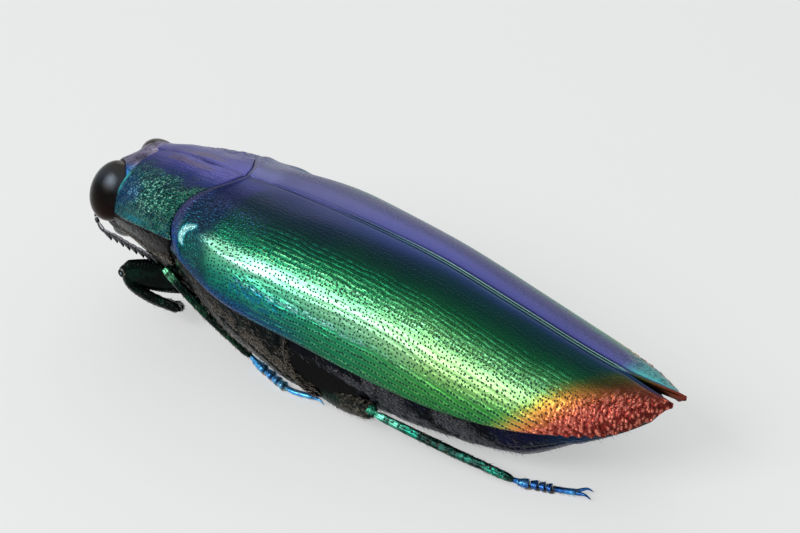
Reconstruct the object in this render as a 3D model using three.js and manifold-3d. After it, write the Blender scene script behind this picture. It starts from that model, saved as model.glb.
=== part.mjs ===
// A jewel beetle at life size, standing on its middle and hind feet with its
// fore legs folded. Millimetres, +Z up, head towards -X, the beetle's left
// side towards -Y. The origin is the middle of the ground under the beetle.
//
// The trunk and its legs are laid out in the trunk's own frame, whose origin
// is the front end of the suture between the wing cases at the level of
// their edges. That frame is then pitched nose up and lifted off the ground.

import * as THREE from 'three';
import { mergeVertices } from 'three/addons/utils/BufferGeometryUtils.js';
import Module from 'manifold-3d';

// ---------- driving dimensions ----------

const wingCaseLength = 29.7;
const wingCaseThickness = 0.5;
const shoulderReach = 6.0;      // how far back the shoulders' forward sweep is felt
const tipParting = 0.5;         // how far each wing case parts from the middle at its tip
const rightOverhang = 0.25;      // the right wing case reaches a little further back
const trunkPitch = 5;           // degrees, nose up
const trunkLift = 6.33;         // the trunk frame's origin above the ground
const gap = 0.14;               // clearance between neighbouring pieces
const eyeHeight = 3.95;
const eyeLength = 3.1;
const eyeBulge = 2.4;
const antennaJoints = 11;
const plainAntennaJoints = 3;   // the joints before the toothed ones
const antennaHalf = 0.25;       // half its thickness
const antennaTooth = 0.13;
const footJoints = 5;
const underside = 0.64;         // how far the trunk lies inside the wing cases' outside
const ventriteEnds = [0, 0.235, 0.457, 0.64, 0.815, 1];   // shares of the abdomen's length
const ventriteStep = 0.1;       // how far each ventrite's end steps in
const femurHollow = 1.7;        // depth of the hollow behind the coxal plates
const jointRounding = 0.08;     // share of a limb's length taken by each rounded end

// ---------- profiles along the trunk, each a list of [station, value] ----------

const sutureHeight = profile([[0, 4.77], [4, 4.97], [9, 4.92], [14, 4.6], [19, 3.72], [24, 2.76],
  [27.5, 2.3], [29.7, 2.12]]);
const halfWidth = profile([[0, 5.55], [4, 6.22], [9, 5.95], [14, 5.68], [19, 5.36], [24, 4.5],
  [27.5, 2.85], [29.7, 0.45]]);
const edgeHeight = profile([[0, 1.3], [1, 0.6], [2.5, 0.05], [5, -0.28], [15, -1.26], [21, -1.0],
  [26, 0.0], [28.2, 0.66], [29.7, 1.85]]);
const archRoundness = profile([[0, 2.0], [6, 2.35], [12, 2.3], [20, 2.05], [26, 1.9], [29.7, 1.9]]);
const baseSweep = profile([[0, 0], [0.2, 0.35], [0.4, 1.0], [0.6, 1.6], [0.75, 1.78], [0.87, 1.75],
  [0.96, 1.4], [1, 0.9]]);
const bellyDepth = profile([[-2, 3.5], [0, 4.3], [3, 5.15], [5, 5.3], [8.5, 5.25], [11, 5.0],
  [15, 4.7], [20, 4.2], [22.7, 3.75], [25.5, 1.9], [27.5, 0.6], [28.8, -0.3]]);
const bellyRoundness = profile([[-2, 1.6], [0, 1.8], [2, 2.2], [5, 3.0], [8.5, 5.0], [12, 3.6],
  [20, 3.4], [28.8, 2.2]]);

// ---------- small helpers ----------

const wasm = await Module();
wasm.setup();

// A smooth function through a few [station, value] pairs, held level beyond them.
function profile(pairs) {
  const slope = (i) => {
    const [x0, y0] = pairs[Math.max(i - 1, 0)];
    const [x1, y1] = pairs[Math.min(i + 1, pairs.length - 1)];
    return (y1 - y0) / (x1 - x0);
  };
  return (x) => {
    const last = pairs.length - 1;
    if (x <= pairs[0][0]) return pairs[0][1];
    if (x >= pairs[last][0]) return pairs[last][1];
    const i = pairs.findIndex(([station]) => station > x) - 1;
    const [x0, y0] = pairs[i];
    const [x1, y1] = pairs[i + 1];
    const span = x1 - x0;
    const t = (x - x0) / span;
    const rise = y1 - y0;
    const a = slope(i) * span - rise;
    const b = rise - slope(i + 1) * span;
    return y0 + rise * t + t * (1 - t) * (a * (1 - t) + b * t);
  };
}

const mix = THREE.MathUtils.lerp;
const vec = (x, y, z) => new THREE.Vector3(x, y, z);
const power = (value, exponent) => Math.sign(value) * Math.abs(value) ** exponent;

// Moves every vertex of a closed body to place(x, y, z) of where it was.
function reshape(geometry, place) {
  geometry.deleteAttribute('normal');
  geometry.deleteAttribute('uv');
  const body = mergeVertices(geometry, 1e-5);
  const points = body.attributes.position;
  for (let i = 0; i < points.count; i += 1) {
    const moved = place(points.getX(i), points.getY(i), points.getZ(i));
    points.setXYZ(i, moved.x, moved.y, moved.z);
  }
  return body;
}

// A closed body from a cylinder: place(t, angle, r) with t from end to end and
// r 1 on the wall and 0 at the middle of each end.
function loft(around, along, place) {
  const cylinder = new THREE.CylinderGeometry(1, 1, 1, around, along);
  return reshape(cylinder, (x, y, z) => place(0.5 - y, Math.atan2(x, z), Math.hypot(x, z)));
}

// A closed plate from a box: place(u, v, w), each from 0 to 1, w through its thickness.
function plate(along, across, place) {
  const box = new THREE.BoxGeometry(1, 1, 1, along, across, 1);
  return reshape(box, (x, y, z) => place(x + 0.5, y + 0.5, z + 0.5));
}

// A round or flattened limb along a curve. width(t) lies across the curve and
// the reference vector, depth(t) along the reference.
function limb(points, width, depth, around, along, reference = vec(0, 0, 1)) {
  const curve = new THREE.CatmullRomCurve3(points, false, 'centripetal');
  return loft(around, along, (t, angle, r) => {
    const tangent = curve.getTangentAt(t);
    const side = tangent.clone().cross(reference).normalize();
    const up = side.clone().cross(tangent);
    return curve.getPointAt(t)
      .addScaledVector(side, Math.cos(angle) * r * width(t))
      .addScaledVector(up, Math.sin(angle) * r * depth(t));
  });
}

function solid(geometry) {
  const clean = geometry.index ? geometry : mergeVertices(geometry, 1e-5);
  return new wasm.Manifold(new wasm.Mesh({
    numProp: 3,
    vertProperties: new Float32Array(clean.attributes.position.array),
    triVerts: new Uint32Array(clean.index.array),
  }));
}

function geometryOf(manifold) {
  const mesh = manifold.getMesh();
  const geometry = new THREE.BufferGeometry();
  geometry.setAttribute('position', new THREE.BufferAttribute(new Float32Array(mesh.vertProperties), 3));
  geometry.setIndex(new THREE.BufferAttribute(new Uint32Array(mesh.triVerts), 1));
  return geometry;
}

function without(body, ...cutters) {
  return geometryOf(cutters.reduce((rest, cutter) => rest.subtract(solid(cutter)), solid(body)));
}

// The right-hand copy of a left-hand piece.
function mirrorOf(geometry) {
  const copy = reshape(geometry.clone(), (x, y, z) => vec(x, -y, z));
  const corners = copy.index.array;
  for (let i = 0; i < corners.length; i += 3) {
    [corners[i + 1], corners[i + 2]] = [corners[i + 2], corners[i + 1]];
  }
  return copy;
}

function block(length, width, height, centre) {
  const box = new THREE.BoxGeometry(length, width, height);
  box.translate(centre.x, centre.y, centre.z);
  return reshape(box, (x, y, z) => vec(x, y, z));
}

// ---------- materials ----------

function finish(color, roughness, metalness) {
  return () => new THREE.MeshStandardMaterial({ color, roughness, metalness });
}

const wingCaseFinish = finish(0x2f9a6a, 0.3, 0.75);
const pronotumFinish = finish(0x2f6f7d, 0.35, 0.7);
const headFinish = finish(0x35558c, 0.4, 0.6);
const eyeFinish = finish(0x2b2422, 0.15, 0.05);
const downyFinish = finish(0x4a4545, 0.65, 0.35);
const bellyFinish = finish(0x2b3040, 0.45, 0.55);
const darkLegFinish = finish(0x10241f, 0.25, 0.55);
const greenLegFinish = finish(0x156a50, 0.35, 0.65);
const footFinish = finish(0x1c5aa0, 0.3, 0.65);
const antennaFinish = finish(0x15161a, 0.35, 0.4);

// ---------- the trunk frame on the ground ----------

const stance = new THREE.Matrix4()
  .makeTranslation(0, 0, trunkLift)
  .multiply(new THREE.Matrix4().makeRotationY(THREE.MathUtils.degToRad(trunkPitch)));
const onGround = (point) => point.clone().applyMatrix4(stance);

const beetle = new THREE.Group();

function add(name, geometry, material) {
  geometry.computeVertexNormals();
  const mesh = new THREE.Mesh(geometry, material());
  mesh.name = name;
  beetle.add(mesh);
}

function addToTrunk(name, geometry, material) {
  geometry.applyMatrix4(stance);
  add(name, geometry, material);
}

// ---------- wing cases ----------

const sweep = (station, across) => baseSweep(across) * Math.max(0, 1 - station / shoulderReach) ** 2;

// A point of the wing cases' arch: 0 at the suture to 1 at the edge, inset below the outside.
function archPoint(station, across, inset) {
  const angle = across * Math.PI / 2;
  const exponent = 2 / archRoundness(station);
  const edge = edgeHeight(station);
  const rise = Math.max(sutureHeight(station) - inset - edge, 0.05);
  const share = Math.sin(angle) ** exponent;
  const y = (halfWidth(station) - inset) * share;
  return vec(station - sweep(station, y / halfWidth(station)), y, edge + rise * Math.cos(angle) ** exponent);
}

// The left wing case, a shell that parts from its fellow before the tip.
function wingCase(length) {
  return plate(22, 9, (u, v, w) => {
    const station = wingCaseLength * mix(u, (1 - Math.cos(u * Math.PI)) / 2, 0.35);
    const inset = wingCaseThickness * w * (1 - 0.5 * u ** 4);
    const point = archPoint(station, v, inset);
    const parting = gap / 2 + tipParting * Math.max(0, (u - 0.86) / 0.14);
    const width = halfWidth(station) - inset;
    const reach = Math.max(width, parting + 0.1);
    const stretch = (length - wingCaseLength) * u ** 3;
    return vec(point.x + stretch, -mix(parting, reach, point.y / width), point.z);
  });
}

addToTrunk('elytron_left', wingCase(wingCaseLength), wingCaseFinish);
addToTrunk('elytron_right', mirrorOf(wingCase(wingCaseLength + rightOverhang)), wingCaseFinish);

// ---------- thorax and abdomen under the wing cases ----------

// A point of the trunk under the wing cases: angle 0 at the back, pi at the belly,
// r 0 on the axis and 1 on the outside.
function trunkPoint(station, angle, r, inset) {
  const edge = edgeHeight(station) - 0.1;
  const width = halfWidth(station) - underside - inset;
  const side = Math.sin(angle);
  const cosine = Math.cos(angle);
  const upper = cosine >= 0;
  const exponent = 2 / (upper ? archRoundness(station) : bellyRoundness(station));
  const height = upper ? sutureHeight(station) - underside - inset - edge : bellyDepth(station) + edge - inset;
  const y = power(side, exponent) * width * r;
  const z = edge + power(cosine, exponent) * Math.max(height, 0.1) * r;
  return vec(station - sweep(station, Math.abs(y) / halfWidth(station)), y, z);
}

const abdomenEnd = wingCaseLength - 0.9;

// 0 on the upper half of the trunk, rising to 1 down its flank.
const flank = (angle) => THREE.MathUtils.smoothstep(-Math.cos(angle), 0, 0.75);

// How far back the thorax reaches: the plates of the hind coxae slope back down the flank.
const coxaEdge = (angle, r) => mix(9.3, mix(7.4, 9.7, flank(angle)), r);

// The middle and hind rings of the thorax, ending in the plates of the hind coxae.
function thorax() {
  return loft(20, 7, (t, angle, r) => {
    const station = mix(gap, coxaEdge(angle, r), t);
    return trunkPoint(station, angle, r, 0.1 * (1 - t) ** 4);
  });
}

// The abdomen: each ventrite steps in a little under the one before it. Its front
// stands off the coxal plates to leave the hollow that takes the hind femora.
function abdomen() {
  const ventrites = ventriteEnds.length - 1;
  return loft(20, 3 * ventrites, (t, angle, r) => {
    const hollow = femurHollow * r * flank(angle) * Math.abs(Math.sin(angle)) ** 0.7;
    const ring = Math.max(0, Math.ceil(t * ventrites - 1e-6) - 1);
    const along = t * ventrites - ring;
    const share = mix(ventriteEnds[ring], ventriteEnds[ring + 1], along);
    const station = mix(coxaEdge(angle, r) + gap + hollow, abdomenEnd, share);
    return trunkPoint(station, angle, r, share === 1 ? 3 * ventriteStep : ventriteStep * along);
  });
}

// ---------- prothorax ----------

const collarFront = -7.1;
const collarHeight = profile([[0, 3.95], [0.35, 4.4], [0.7, 4.6], [1, 4.68]]);
const collarWidth = profile([[0, 3.3], [0.3, 4.1], [0.6, 4.75], [0.85, 5.15], [1, 5.25]]);
const carinaHeight = profile([[0, 0.3], [0.3, 0.85], [0.6, 1.4], [1, 1.9]]);
const collarRoundness = profile([[0, 2.0], [1, 1.8]]);
const sternumDepth = profile([[0, 1.9], [0.5, 2.8], [1, 3.8]]);

// Everything behind the curved base of the wing cases, less a gap.
function behindBase() {
  return plate(1, 18, (u, v, w) => {
    const share = Math.sin((v - 0.5) * Math.PI);
    return vec(mix(-gap - sweep(0, Math.abs(share)), 4, u), halfWidth(0) * share, mix(-6, 8, w));
  });
}

// One half of the prothorax, above or below its side edges.
function prothoraxHalf(upper, around, along) {
  return loft(around, along, (t, angle, r) => {
    const side = Math.sin(angle);
    const cosine = Math.cos(angle);
    const edge = carinaHeight(t) + (upper ? gap / 2 : -gap / 2);
    const exponent = 2 / (upper ? collarRoundness(t) : 1.8);
    const arched = upper === cosine >= 0;
    const height = upper ? collarHeight(t) - edge : sternumDepth(t) + edge;
    const y = power(side, arched ? exponent : 1) * collarWidth(t) * r;
    const z = edge + (arched ? power(cosine, exponent) * height * r : 0);
    const front = collarFront - 0.75 * side ** 2;
    return vec(mix(front, 0, t), y, z);
  });
}

// ---------- head ----------

function headShape(grow) {
  const middle = vec(-7.9, 0, 0.7);
  return reshape(new THREE.SphereGeometry(1, 18, 11), (x, y, z) => vec(
    middle.x + x * (2.4 + grow) + y * 0.83,
    -z * (3.0 + grow),
    middle.z + y * (3.3 + grow),
  ));
}

const eyeTilt = new THREE.Matrix4().makeTranslation(-8.55, -2.35, 1.32)
  .multiply(new THREE.Matrix4().makeRotationX(THREE.MathUtils.degToRad(-27)))
  .multiply(new THREE.Matrix4().makeRotationY(THREE.MathUtils.degToRad(6)));

function eyeShape(grow) {
  const eye = new THREE.SphereGeometry(1, 16, 10);
  eye.scale(eyeLength / 2 + grow, eyeHeight / 2 + grow, eyeBulge / 2 + grow);
  eye.rotateX(Math.PI / 2);
  eye.applyMatrix4(eyeTilt);
  return reshape(eye, (x, y, z) => vec(x, y, z));
}

// The labrum and the closed mandibles below the face.
function mouthparts() {
  return reshape(new THREE.SphereGeometry(1, 10, 6), (x, y, z) => vec(
    -9.1 + x * 1.0 + y * 0.3,
    -z * 1.5 * (1 + 0.3 * y),
    -2.3 + y * 1.0,
  ));
}

// A serrate antenna: each outer joint widens to a tooth.
function antenna() {
  const path = [[-10.15, -1.45, -0.85], [-10.6, -1.8, -1.5], [-9.75, -2.1, -2.15], [-8.3, -2.45, -1.95],
    [-6.85, -2.85, -1.75], [-4.1, -3.35, -1.45]];
  const depth = (t) => {
    const part = t * antennaJoints;
    const along = part - Math.floor(part);
    return part < plainAntennaJoints ? antennaHalf : antennaHalf + antennaTooth * along;
  };
  return limb(path.map((p) => vec(...p)), () => antennaHalf, depth, 5, antennaJoints * 2);
}

// ---------- legs ----------

// A point of the ground frame below a station of the trunk, at a height above the ground.
const aboveGround = (station, y, height) => vec(onGround(vec(station, y, -5.5)).x, y, height);
const inTrunk = (list) => list.map(([x, y, z]) => onGround(vec(x, y, z)));

// The left legs. Femur and tibia are given in the trunk frame, and the middle and hind
// feet lie on the ground. Half sizes are [upwards, sideways].
const legPoses = {
  fore: {
    femur: inTrunk([[-2.6, -1.1, -3.75], [-4.3, -2.3, -3.35], [-6.5, -3.9, -2.95]]),
    tibia: inTrunk([[-6.3, -3.9, -3.05], [-5.85, -3.75, -3.88], [-4.8, -3.25, -4.6], [-2.95, -2.7, -5.0]]),
    foot: inTrunk([[-3.15, -2.35, -5.2], [-3.6, -1.9, -5.5], [-4.1, -1.55, -5.72], [-5.0, -1.35, -5.95]]),
    femurHalf: [1.12, 0.55],
    tibiaHalf: [0.4, 0.34],
  },
  mid: {
    femur: inTrunk([[3.0, -1.5, -4.3], [0.6, -2.9, -2.9], [-2.3, -4.3, -0.6]]),
    tibia: inTrunk([[-2.4, -4.75, -0.7], [0.3, -4.4, -2.68], [3.5, -3.6, -5.12]]),
    foot: [inTrunk([[3.8, -3.5, -5.45]])[0], aboveGround(5.2, -3.8, 0.3), aboveGround(7.2, -4.4, 0.22),
      aboveGround(9.0, -4.2, 0.24)],
    femurHalf: [0.6, 0.5],
    tibiaHalf: [0.33, 0.33],
  },
  hind: {
    femur: inTrunk([[6.4, -3.2, -3.0], [8.2, -4.2, -3.5], [10.4, -4.45, -4.15], [13.6, -5.1, -3.68]]),
    tibia: inTrunk([[13.75, -5.15, -3.65], [18.0, -5.0, -3.85], [22.9, -4.8, -3.95]]),
    foot: [inTrunk([[23.2, -4.75, -4.0]])[0], aboveGround(24.1, -4.4, 0.26), aboveGround(25.4, -4.0, 0.22),
      aboveGround(26.6, -3.6, 0.24)],
    femurHalf: [0.84, 0.47],
    tibiaHalf: [0.31, 0.31],
  },
};
const rightTuck = { fore: 0, mid: 0, hind: 2.0 };   // how much further forward the right leg is drawn

// Thickness of a limb from end to end: rounded ends and a fuller middle.
const swelling = (half, slender) => (t) => {
  const rounded = Math.sqrt(Math.min(1, Math.min(t, 1 - t) / jointRounding + 0.4));
  return half * rounded * mix(slender, 1, Math.sin(Math.PI * t));
};

function femurShape(pose, grow) {
  const [tall, wide] = pose.femurHalf;
  return limb(pose.femur, swelling(wide + grow, 0.75), swelling(tall + grow, 0.6), 8, 6);
}

function tibiaShape(pose, grow) {
  const [tall, wide] = pose.tibiaHalf;
  return limb(pose.tibia, swelling(wide + grow, 0.9), swelling(tall + grow, 0.9), 8, 5);
}

const footHalfWidth = 0.36;
const footHalfDepth = 0.3;
const clawReach = 0.75;

// Five joints, each widening forwards, and two curved claws, all cut off level at the ground.
function footShape(path) {
  const pinch = (t) => {
    const part = t * footJoints;
    const along = part - Math.floor(part - 1e-6);
    return (t < 0.02 || t > 0.98 ? 0.35 : 1) * mix(0.72, 1, Math.sqrt(Math.abs(Math.sin(along * Math.PI))));
  };
  const joints = limb(path, (t) => footHalfWidth * pinch(t), (t) => footHalfDepth * pinch(t), 5, footJoints * 2);
  const tip = path[path.length - 1];
  const ahead = tip.clone().sub(path[path.length - 2]).normalize();
  const aside = vec(-ahead.y, ahead.x, 0);
  const claws = [-1, 1].map((hand) => limb([
    tip.clone().addScaledVector(ahead, -0.2).addScaledVector(aside, hand * 0.08),
    tip.clone().addScaledVector(ahead, clawReach * 0.5).addScaledVector(aside, hand * 0.3).add(vec(0, 0, 0.12)),
    tip.clone().addScaledVector(ahead, clawReach).addScaledVector(aside, hand * 0.4).add(vec(0, 0, -0.1)),
  ], (t) => 0.18 - 0.08 * t, (t) => 0.18 - 0.08 * t, 4, 2));
  const aboveFloor = solid(block(60, 60, 20, vec(0, 0, 10)));
  return geometryOf(claws.reduce((foot, claw) => foot.add(solid(claw)), solid(joints)).intersect(aboveFloor));
}

// The same leg drawn forward, its hip staying where it is.
function tucked(pose, amount) {
  const forward = (point, share) => point.clone().add(vec(-amount * share, 0, 0));
  return {
    ...pose,
    femur: pose.femur.map((point, i) => forward(point, i / (pose.femur.length - 1))),
    tibia: pose.tibia.map((point) => forward(point, 1)),
    foot: pose.foot.map((point) => forward(point, 1)),
  };
}

const sockets = [];
for (const [pair, leftPose] of Object.entries(legPoses)) {
  for (const side of ['left', 'right']) {
    const pose = tucked(leftPose, side === 'right' ? rightTuck[pair] : 0);
    const sided = (geometry) => (side === 'right' ? mirrorOf(geometry) : geometry);
    const tibiaRoom = tibiaShape(pose, gap);
    add(`${pair}_${side}_femur`, sided(without(femurShape(pose, 0), tibiaRoom)), darkLegFinish);
    add(`${pair}_${side}_tibia`, sided(tibiaShape(pose, 0)), greenLegFinish);
    add(`${pair}_${side}_foot`, sided(without(footShape(pose.foot), tibiaRoom)), footFinish);
    sockets.push(sided(femurShape(pose, gap)), sided(tibiaRoom));
  }
}

const inGround = (geometry) => {
  geometry.applyMatrix4(stance);
  return geometry;
};

const eyes = [eyeShape(gap), mirrorOf(eyeShape(gap))];
addToTrunk('eye_left', eyeShape(0), eyeFinish);
addToTrunk('eye_right', mirrorOf(eyeShape(0)), eyeFinish);
addToTrunk('head', without(headShape(0), ...eyes), headFinish);
addToTrunk('mouthparts', without(mouthparts(), headShape(gap)), headFinish);
addToTrunk('antenna_left', antenna(), antennaFinish);
addToTrunk('antenna_right', mirrorOf(antenna()), antennaFinish);
const inFront = [behindBase(), headShape(gap), ...eyes];
addToTrunk('pronotum', without(prothoraxHalf(true, 24, 7), ...inFront), pronotumFinish);
const prosternum = without(prothoraxHalf(false, 16, 5), ...inFront);
add('prosternum', without(inGround(prosternum), ...sockets), downyFinish);
add('thorax', without(inGround(thorax()), ...sockets), downyFinish);
add('abdomen', without(inGround(abdomen()), ...sockets), bellyFinish);

const span = new THREE.Box3().setFromObject(beetle);
for (const mesh of beetle.children) {
  mesh.geometry.translate(-(span.min.x + span.max.x) / 2, 0, 0);
}

export default beetle;
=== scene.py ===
import math
import bmesh
import bpy
import numpy as np
from mathutils import Matrix, Vector


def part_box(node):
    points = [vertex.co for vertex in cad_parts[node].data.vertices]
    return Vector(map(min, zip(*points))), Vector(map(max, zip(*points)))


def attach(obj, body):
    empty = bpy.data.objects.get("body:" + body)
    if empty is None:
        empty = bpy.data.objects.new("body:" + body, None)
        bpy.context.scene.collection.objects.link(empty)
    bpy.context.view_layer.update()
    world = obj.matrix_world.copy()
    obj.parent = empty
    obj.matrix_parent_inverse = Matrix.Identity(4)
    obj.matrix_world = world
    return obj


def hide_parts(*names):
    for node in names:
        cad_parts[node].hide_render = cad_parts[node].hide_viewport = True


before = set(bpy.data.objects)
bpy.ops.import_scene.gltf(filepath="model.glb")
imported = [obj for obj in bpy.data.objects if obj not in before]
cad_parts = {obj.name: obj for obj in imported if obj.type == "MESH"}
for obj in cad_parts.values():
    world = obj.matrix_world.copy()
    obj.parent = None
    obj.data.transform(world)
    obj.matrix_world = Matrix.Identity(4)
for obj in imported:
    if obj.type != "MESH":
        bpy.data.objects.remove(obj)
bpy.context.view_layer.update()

# The beetle is drawn in millimetres in its trunk's own frame: x back from the front end of
# the suture, y across (left is minus), z up from the level of the wing cases' edges. The
# trunk is then pitched nose up and lifted onto its feet, and everything becomes metres.

trunk = {"pitch": 5.0, "lift": 6.33, "length": 29.7, "tipHeight": 2.12}


def smooth(pairs):  # a smooth function through a few (place, value) pairs
    xs, ys = np.array(pairs, float).T
    ends = np.arange(len(xs))
    before, after = np.maximum(ends - 1, 0), np.minimum(ends + 1, len(xs) - 1)
    slopes = (ys[after] - ys[before]) / (xs[after] - xs[before])

    def at(x):
        x = np.clip(np.asarray(x, float), xs[0], xs[-1])
        i = np.clip(np.searchsorted(xs, x, side="right") - 1, 0, len(xs) - 2)
        span, rise = xs[i + 1] - xs[i], ys[i + 1] - ys[i]
        t = (x - xs[i]) / span
        a, b = slopes[i] * span - rise, rise - slopes[i + 1] * span
        return ys[i] + rise * t + t * (1 - t) * (a * (1 - t) + b * t)

    return at


sutureHeight = smooth([(0, 4.77), (4, 4.97), (9, 4.92), (14, 4.6), (19, 3.72), (24, 2.76), (27.5, 2.3),
                       (29.7, 2.12)])
halfWidth = smooth([(0, 5.55), (4, 6.22), (9, 5.95), (14, 5.68), (19, 5.36), (24, 4.5), (27.5, 2.85),
                    (29.7, 0.45)])
edgeHeight = smooth([(0, 1.3), (1, 0.6), (2.5, 0.05), (5, -0.28), (15, -1.26), (21, -1.0), (26, 0.0),
                     (28.2, 0.66), (29.7, 1.85)])
archRoundness = smooth([(0, 2.0), (6, 2.35), (12, 2.3), (20, 2.05), (26, 1.9), (29.7, 1.9)])
baseSweep = smooth([(0, 0), (0.2, 0.35), (0.4, 1.0), (0.6, 1.6), (0.75, 1.78), (0.87, 1.75), (0.96, 1.4),
                    (1, 0.9)])
bellyDepth = smooth([(-2, 3.5), (0, 4.3), (3, 5.15), (5, 5.3), (8.5, 5.25), (11, 5.0), (15, 4.7), (20, 4.2),
                     (22.7, 3.75), (25.5, 1.9), (27.5, 0.6), (28.8, -0.3)])
bellyRoundness = smooth([(-2, 1.6), (0, 1.8), (2, 2.2), (5, 3.0), (8.5, 5.0), (12, 3.6), (20, 3.4),
                         (28.8, 2.2)])

pitch = math.radians(trunk["pitch"])
tipReach = trunk["length"] * math.cos(pitch) + trunk["tipHeight"] * math.sin(pitch)
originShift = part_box("elytron_left")[1][0] * 1000 - tipReach


def inGround(points):  # trunk frame to the ground frame, still millimetres
    p = np.asarray(points, float)
    x, y, z = p[..., 0], p[..., 1], p[..., 2]
    return np.stack([x * math.cos(pitch) + z * math.sin(pitch) + originShift, y,
                     z * math.cos(pitch) - x * math.sin(pitch) + trunk["lift"]], -1)


def mix(a, b, t):
    return a + (b - a) * t


def step(x, low, high):
    t = np.clip((x - low) / (high - low), 0, 1)
    return t * t * (3 - 2 * t)


def peak(x, centre, reach):
    return np.exp(-((x - centre) / reach) ** 2)


def bump(x, y, cx, cy, rx, ry):
    return np.exp(-((x - cx) / rx) ** 2 - ((y - cy) / ry) ** 2)


def grain(x, y, seed):  # smooth random relief between -1 and 1, one swell per unit
    lattice = np.random.default_rng(seed).uniform(-1, 1, (256, 256))
    x0, y0 = np.floor(x).astype(int), np.floor(y).astype(int)
    fx, fy = x - x0, y - y0
    fx, fy = fx * fx * (3 - 2 * fx), fy * fy * (3 - 2 * fy)
    corner = lambda i, j: lattice[(x0 + i) % 256, (y0 + j) % 256]
    return mix(mix(corner(0, 0), corner(1, 0), fx), mix(corner(0, 1), corner(1, 1), fx), fy)


# meshes

def addObject(name, data):
    thing = bpy.data.objects.new(name, data)
    bpy.context.collection.objects.link(thing)
    return thing


def makePiece(name, points, faces, marks=None, mirrored=False, ground=False):
    points = np.asarray(points, float)
    if mirrored:
        points = points * [1, -1, 1]
        faces = [face[::-1] for face in faces]
    placed = points if ground else inGround(points)
    mesh = bpy.data.meshes.new(name)
    mesh.from_pydata((placed / 1000).tolist(), [], faces)
    for mark, values in (marks or {}).items():
        values = np.asarray(values, float)
        kind = "FLOAT" if values.ndim == 1 else "FLOAT_VECTOR"
        layer = mesh.attributes.new(mark, kind, "POINT")
        layer.data.foreach_set("value" if values.ndim == 1 else "vector", values.ravel())
    mesh.polygons.foreach_set("use_smooth", [True] * len(mesh.polygons))
    mesh.update()
    return addObject(name, mesh)


def turnOutward(piece):
    work = bmesh.new()
    work.from_mesh(piece.data)
    bmesh.ops.recalc_face_normals(work, faces=work.faces)
    work.to_mesh(piece.data)
    work.free()
    return piece


def ringFaces(rings, around, firstPole, lastPole):  # rings of points between two poles
    faces = []
    for i in range(rings - 1):
        for j in range(around):
            a, b = i * around + j, i * around + (j + 1) % around
            faces.append((a, b, b + around, a + around))
    last = (rings - 1) * around
    for j in range(around):
        faces.append((firstPole, (j + 1) % around, j))
        faces.append((lastPole, last + j, last + (j + 1) % around))
    return faces


def loftGrid(along, around, cap):  # t, angle and r of a closed loft whose ends are drawn in to poles
    rows = [(0.0, (i + 1) / (cap + 1)) for i in range(cap)]
    rows += [(t, 1.0) for t in np.linspace(0, 1, along + 1)]
    rows += [(1.0, 1 - (i + 1) / (cap + 1)) for i in range(cap)]
    t, r = np.array(rows).T
    angle = np.linspace(0, 2 * math.pi, around, endpoint=False)
    values = (t[:, None], angle[None, :], r[:, None])
    grid = [np.broadcast_to(v, (len(rows), around)).ravel() for v in values]
    poles = [np.array([0.0, 1.0]), np.zeros(2), np.zeros(2)]
    return [np.concatenate([g, p]) for g, p in zip(grid, poles)], len(rows)


def loft(name, along, around, place, marks=None, cap=2, **options):
    (t, angle, r), rings = loftGrid(along, around, cap)
    points = place(t, angle, r)
    faces = ringFaces(rings, around, rings * around, rings * around + 1)
    extra = marks(t, angle, r) if marks else None
    return makePiece(name, points, faces, extra, **options)


def curveOf(points):  # an even-speed curve through a few points
    knots = np.array(points, float)
    steps = np.linalg.norm(np.diff(knots, axis=0), axis=1) ** 0.5
    times = np.concatenate([[0], np.cumsum(steps)])
    axes = [smooth(list(zip(times, knots[:, i]))) for i in range(3)]
    fine = np.linspace(0, times[-1], 400)
    path = np.stack([axis(fine) for axis in axes], -1)
    length = np.concatenate([[0], np.cumsum(np.linalg.norm(np.diff(path, axis=0), axis=1))])

    def at(t):
        u = np.interp(np.asarray(t, float) * length[-1], length, fine)
        return np.stack([axis(u) for axis in axes], -1)

    return at


def frameAlong(at, t):  # ahead, across and up along a curve
    nudge = 0.004
    ahead = at(np.clip(t + nudge, 0, 1)) - at(np.clip(t - nudge, 0, 1))
    ahead /= np.linalg.norm(ahead, axis=-1, keepdims=True)
    side = np.cross(ahead, (0.0, 0.0, 1.0))
    side /= np.linalg.norm(side, axis=-1, keepdims=True)
    return ahead, side, np.cross(side, ahead)


def limbPlace(points, width, depth, relief=None):  # width lies across the curve, depth upwards
    at = curveOf(points)

    def place(t, angle, r):
        centre = at(t)
        _, side, up = frameAlong(at, t)
        swell = relief(t, angle) if relief else 0
        return (centre + side * (np.cos(angle) * r * (width(t) + swell))[:, None]
                + up * (np.sin(angle) * r * (depth(t) + swell))[:, None])

    return place


def joinAs(name, pieces):
    points, faces, marks = [], [], {}
    for piece in pieces:
        source = piece.data
        base = sum(len(block) for block in points)
        places = np.empty(len(source.vertices) * 3)
        source.vertices.foreach_get("co", places)
        points.append(places.reshape(-1, 3))
        faces += [tuple(base + corner for corner in polygon.vertices) for polygon in source.polygons]
        for layer in source.attributes:
            if layer.domain == "POINT" and layer.name != "position" and not layer.name.startswith("."):
                width = 1 if layer.data_type == "FLOAT" else 3
                values = np.empty(len(source.vertices) * width)
                layer.data.foreach_get("value" if width == 1 else "vector", values)
                marks.setdefault(layer.name, []).append((base, values.reshape(-1, width)))
        bpy.data.objects.remove(piece)
        bpy.data.meshes.remove(source)
    total = sum(len(block) for block in points)
    whole = {}
    for mark, blocks in marks.items():
        whole[mark] = np.zeros((total, blocks[0][1].shape[1])).squeeze()
        for base, values in blocks:
            whole[mark][base:base + len(values)] = values.squeeze()
    return makePiece(name, np.concatenate(points) * 1000, faces, whole, ground=True)


# materials

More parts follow.
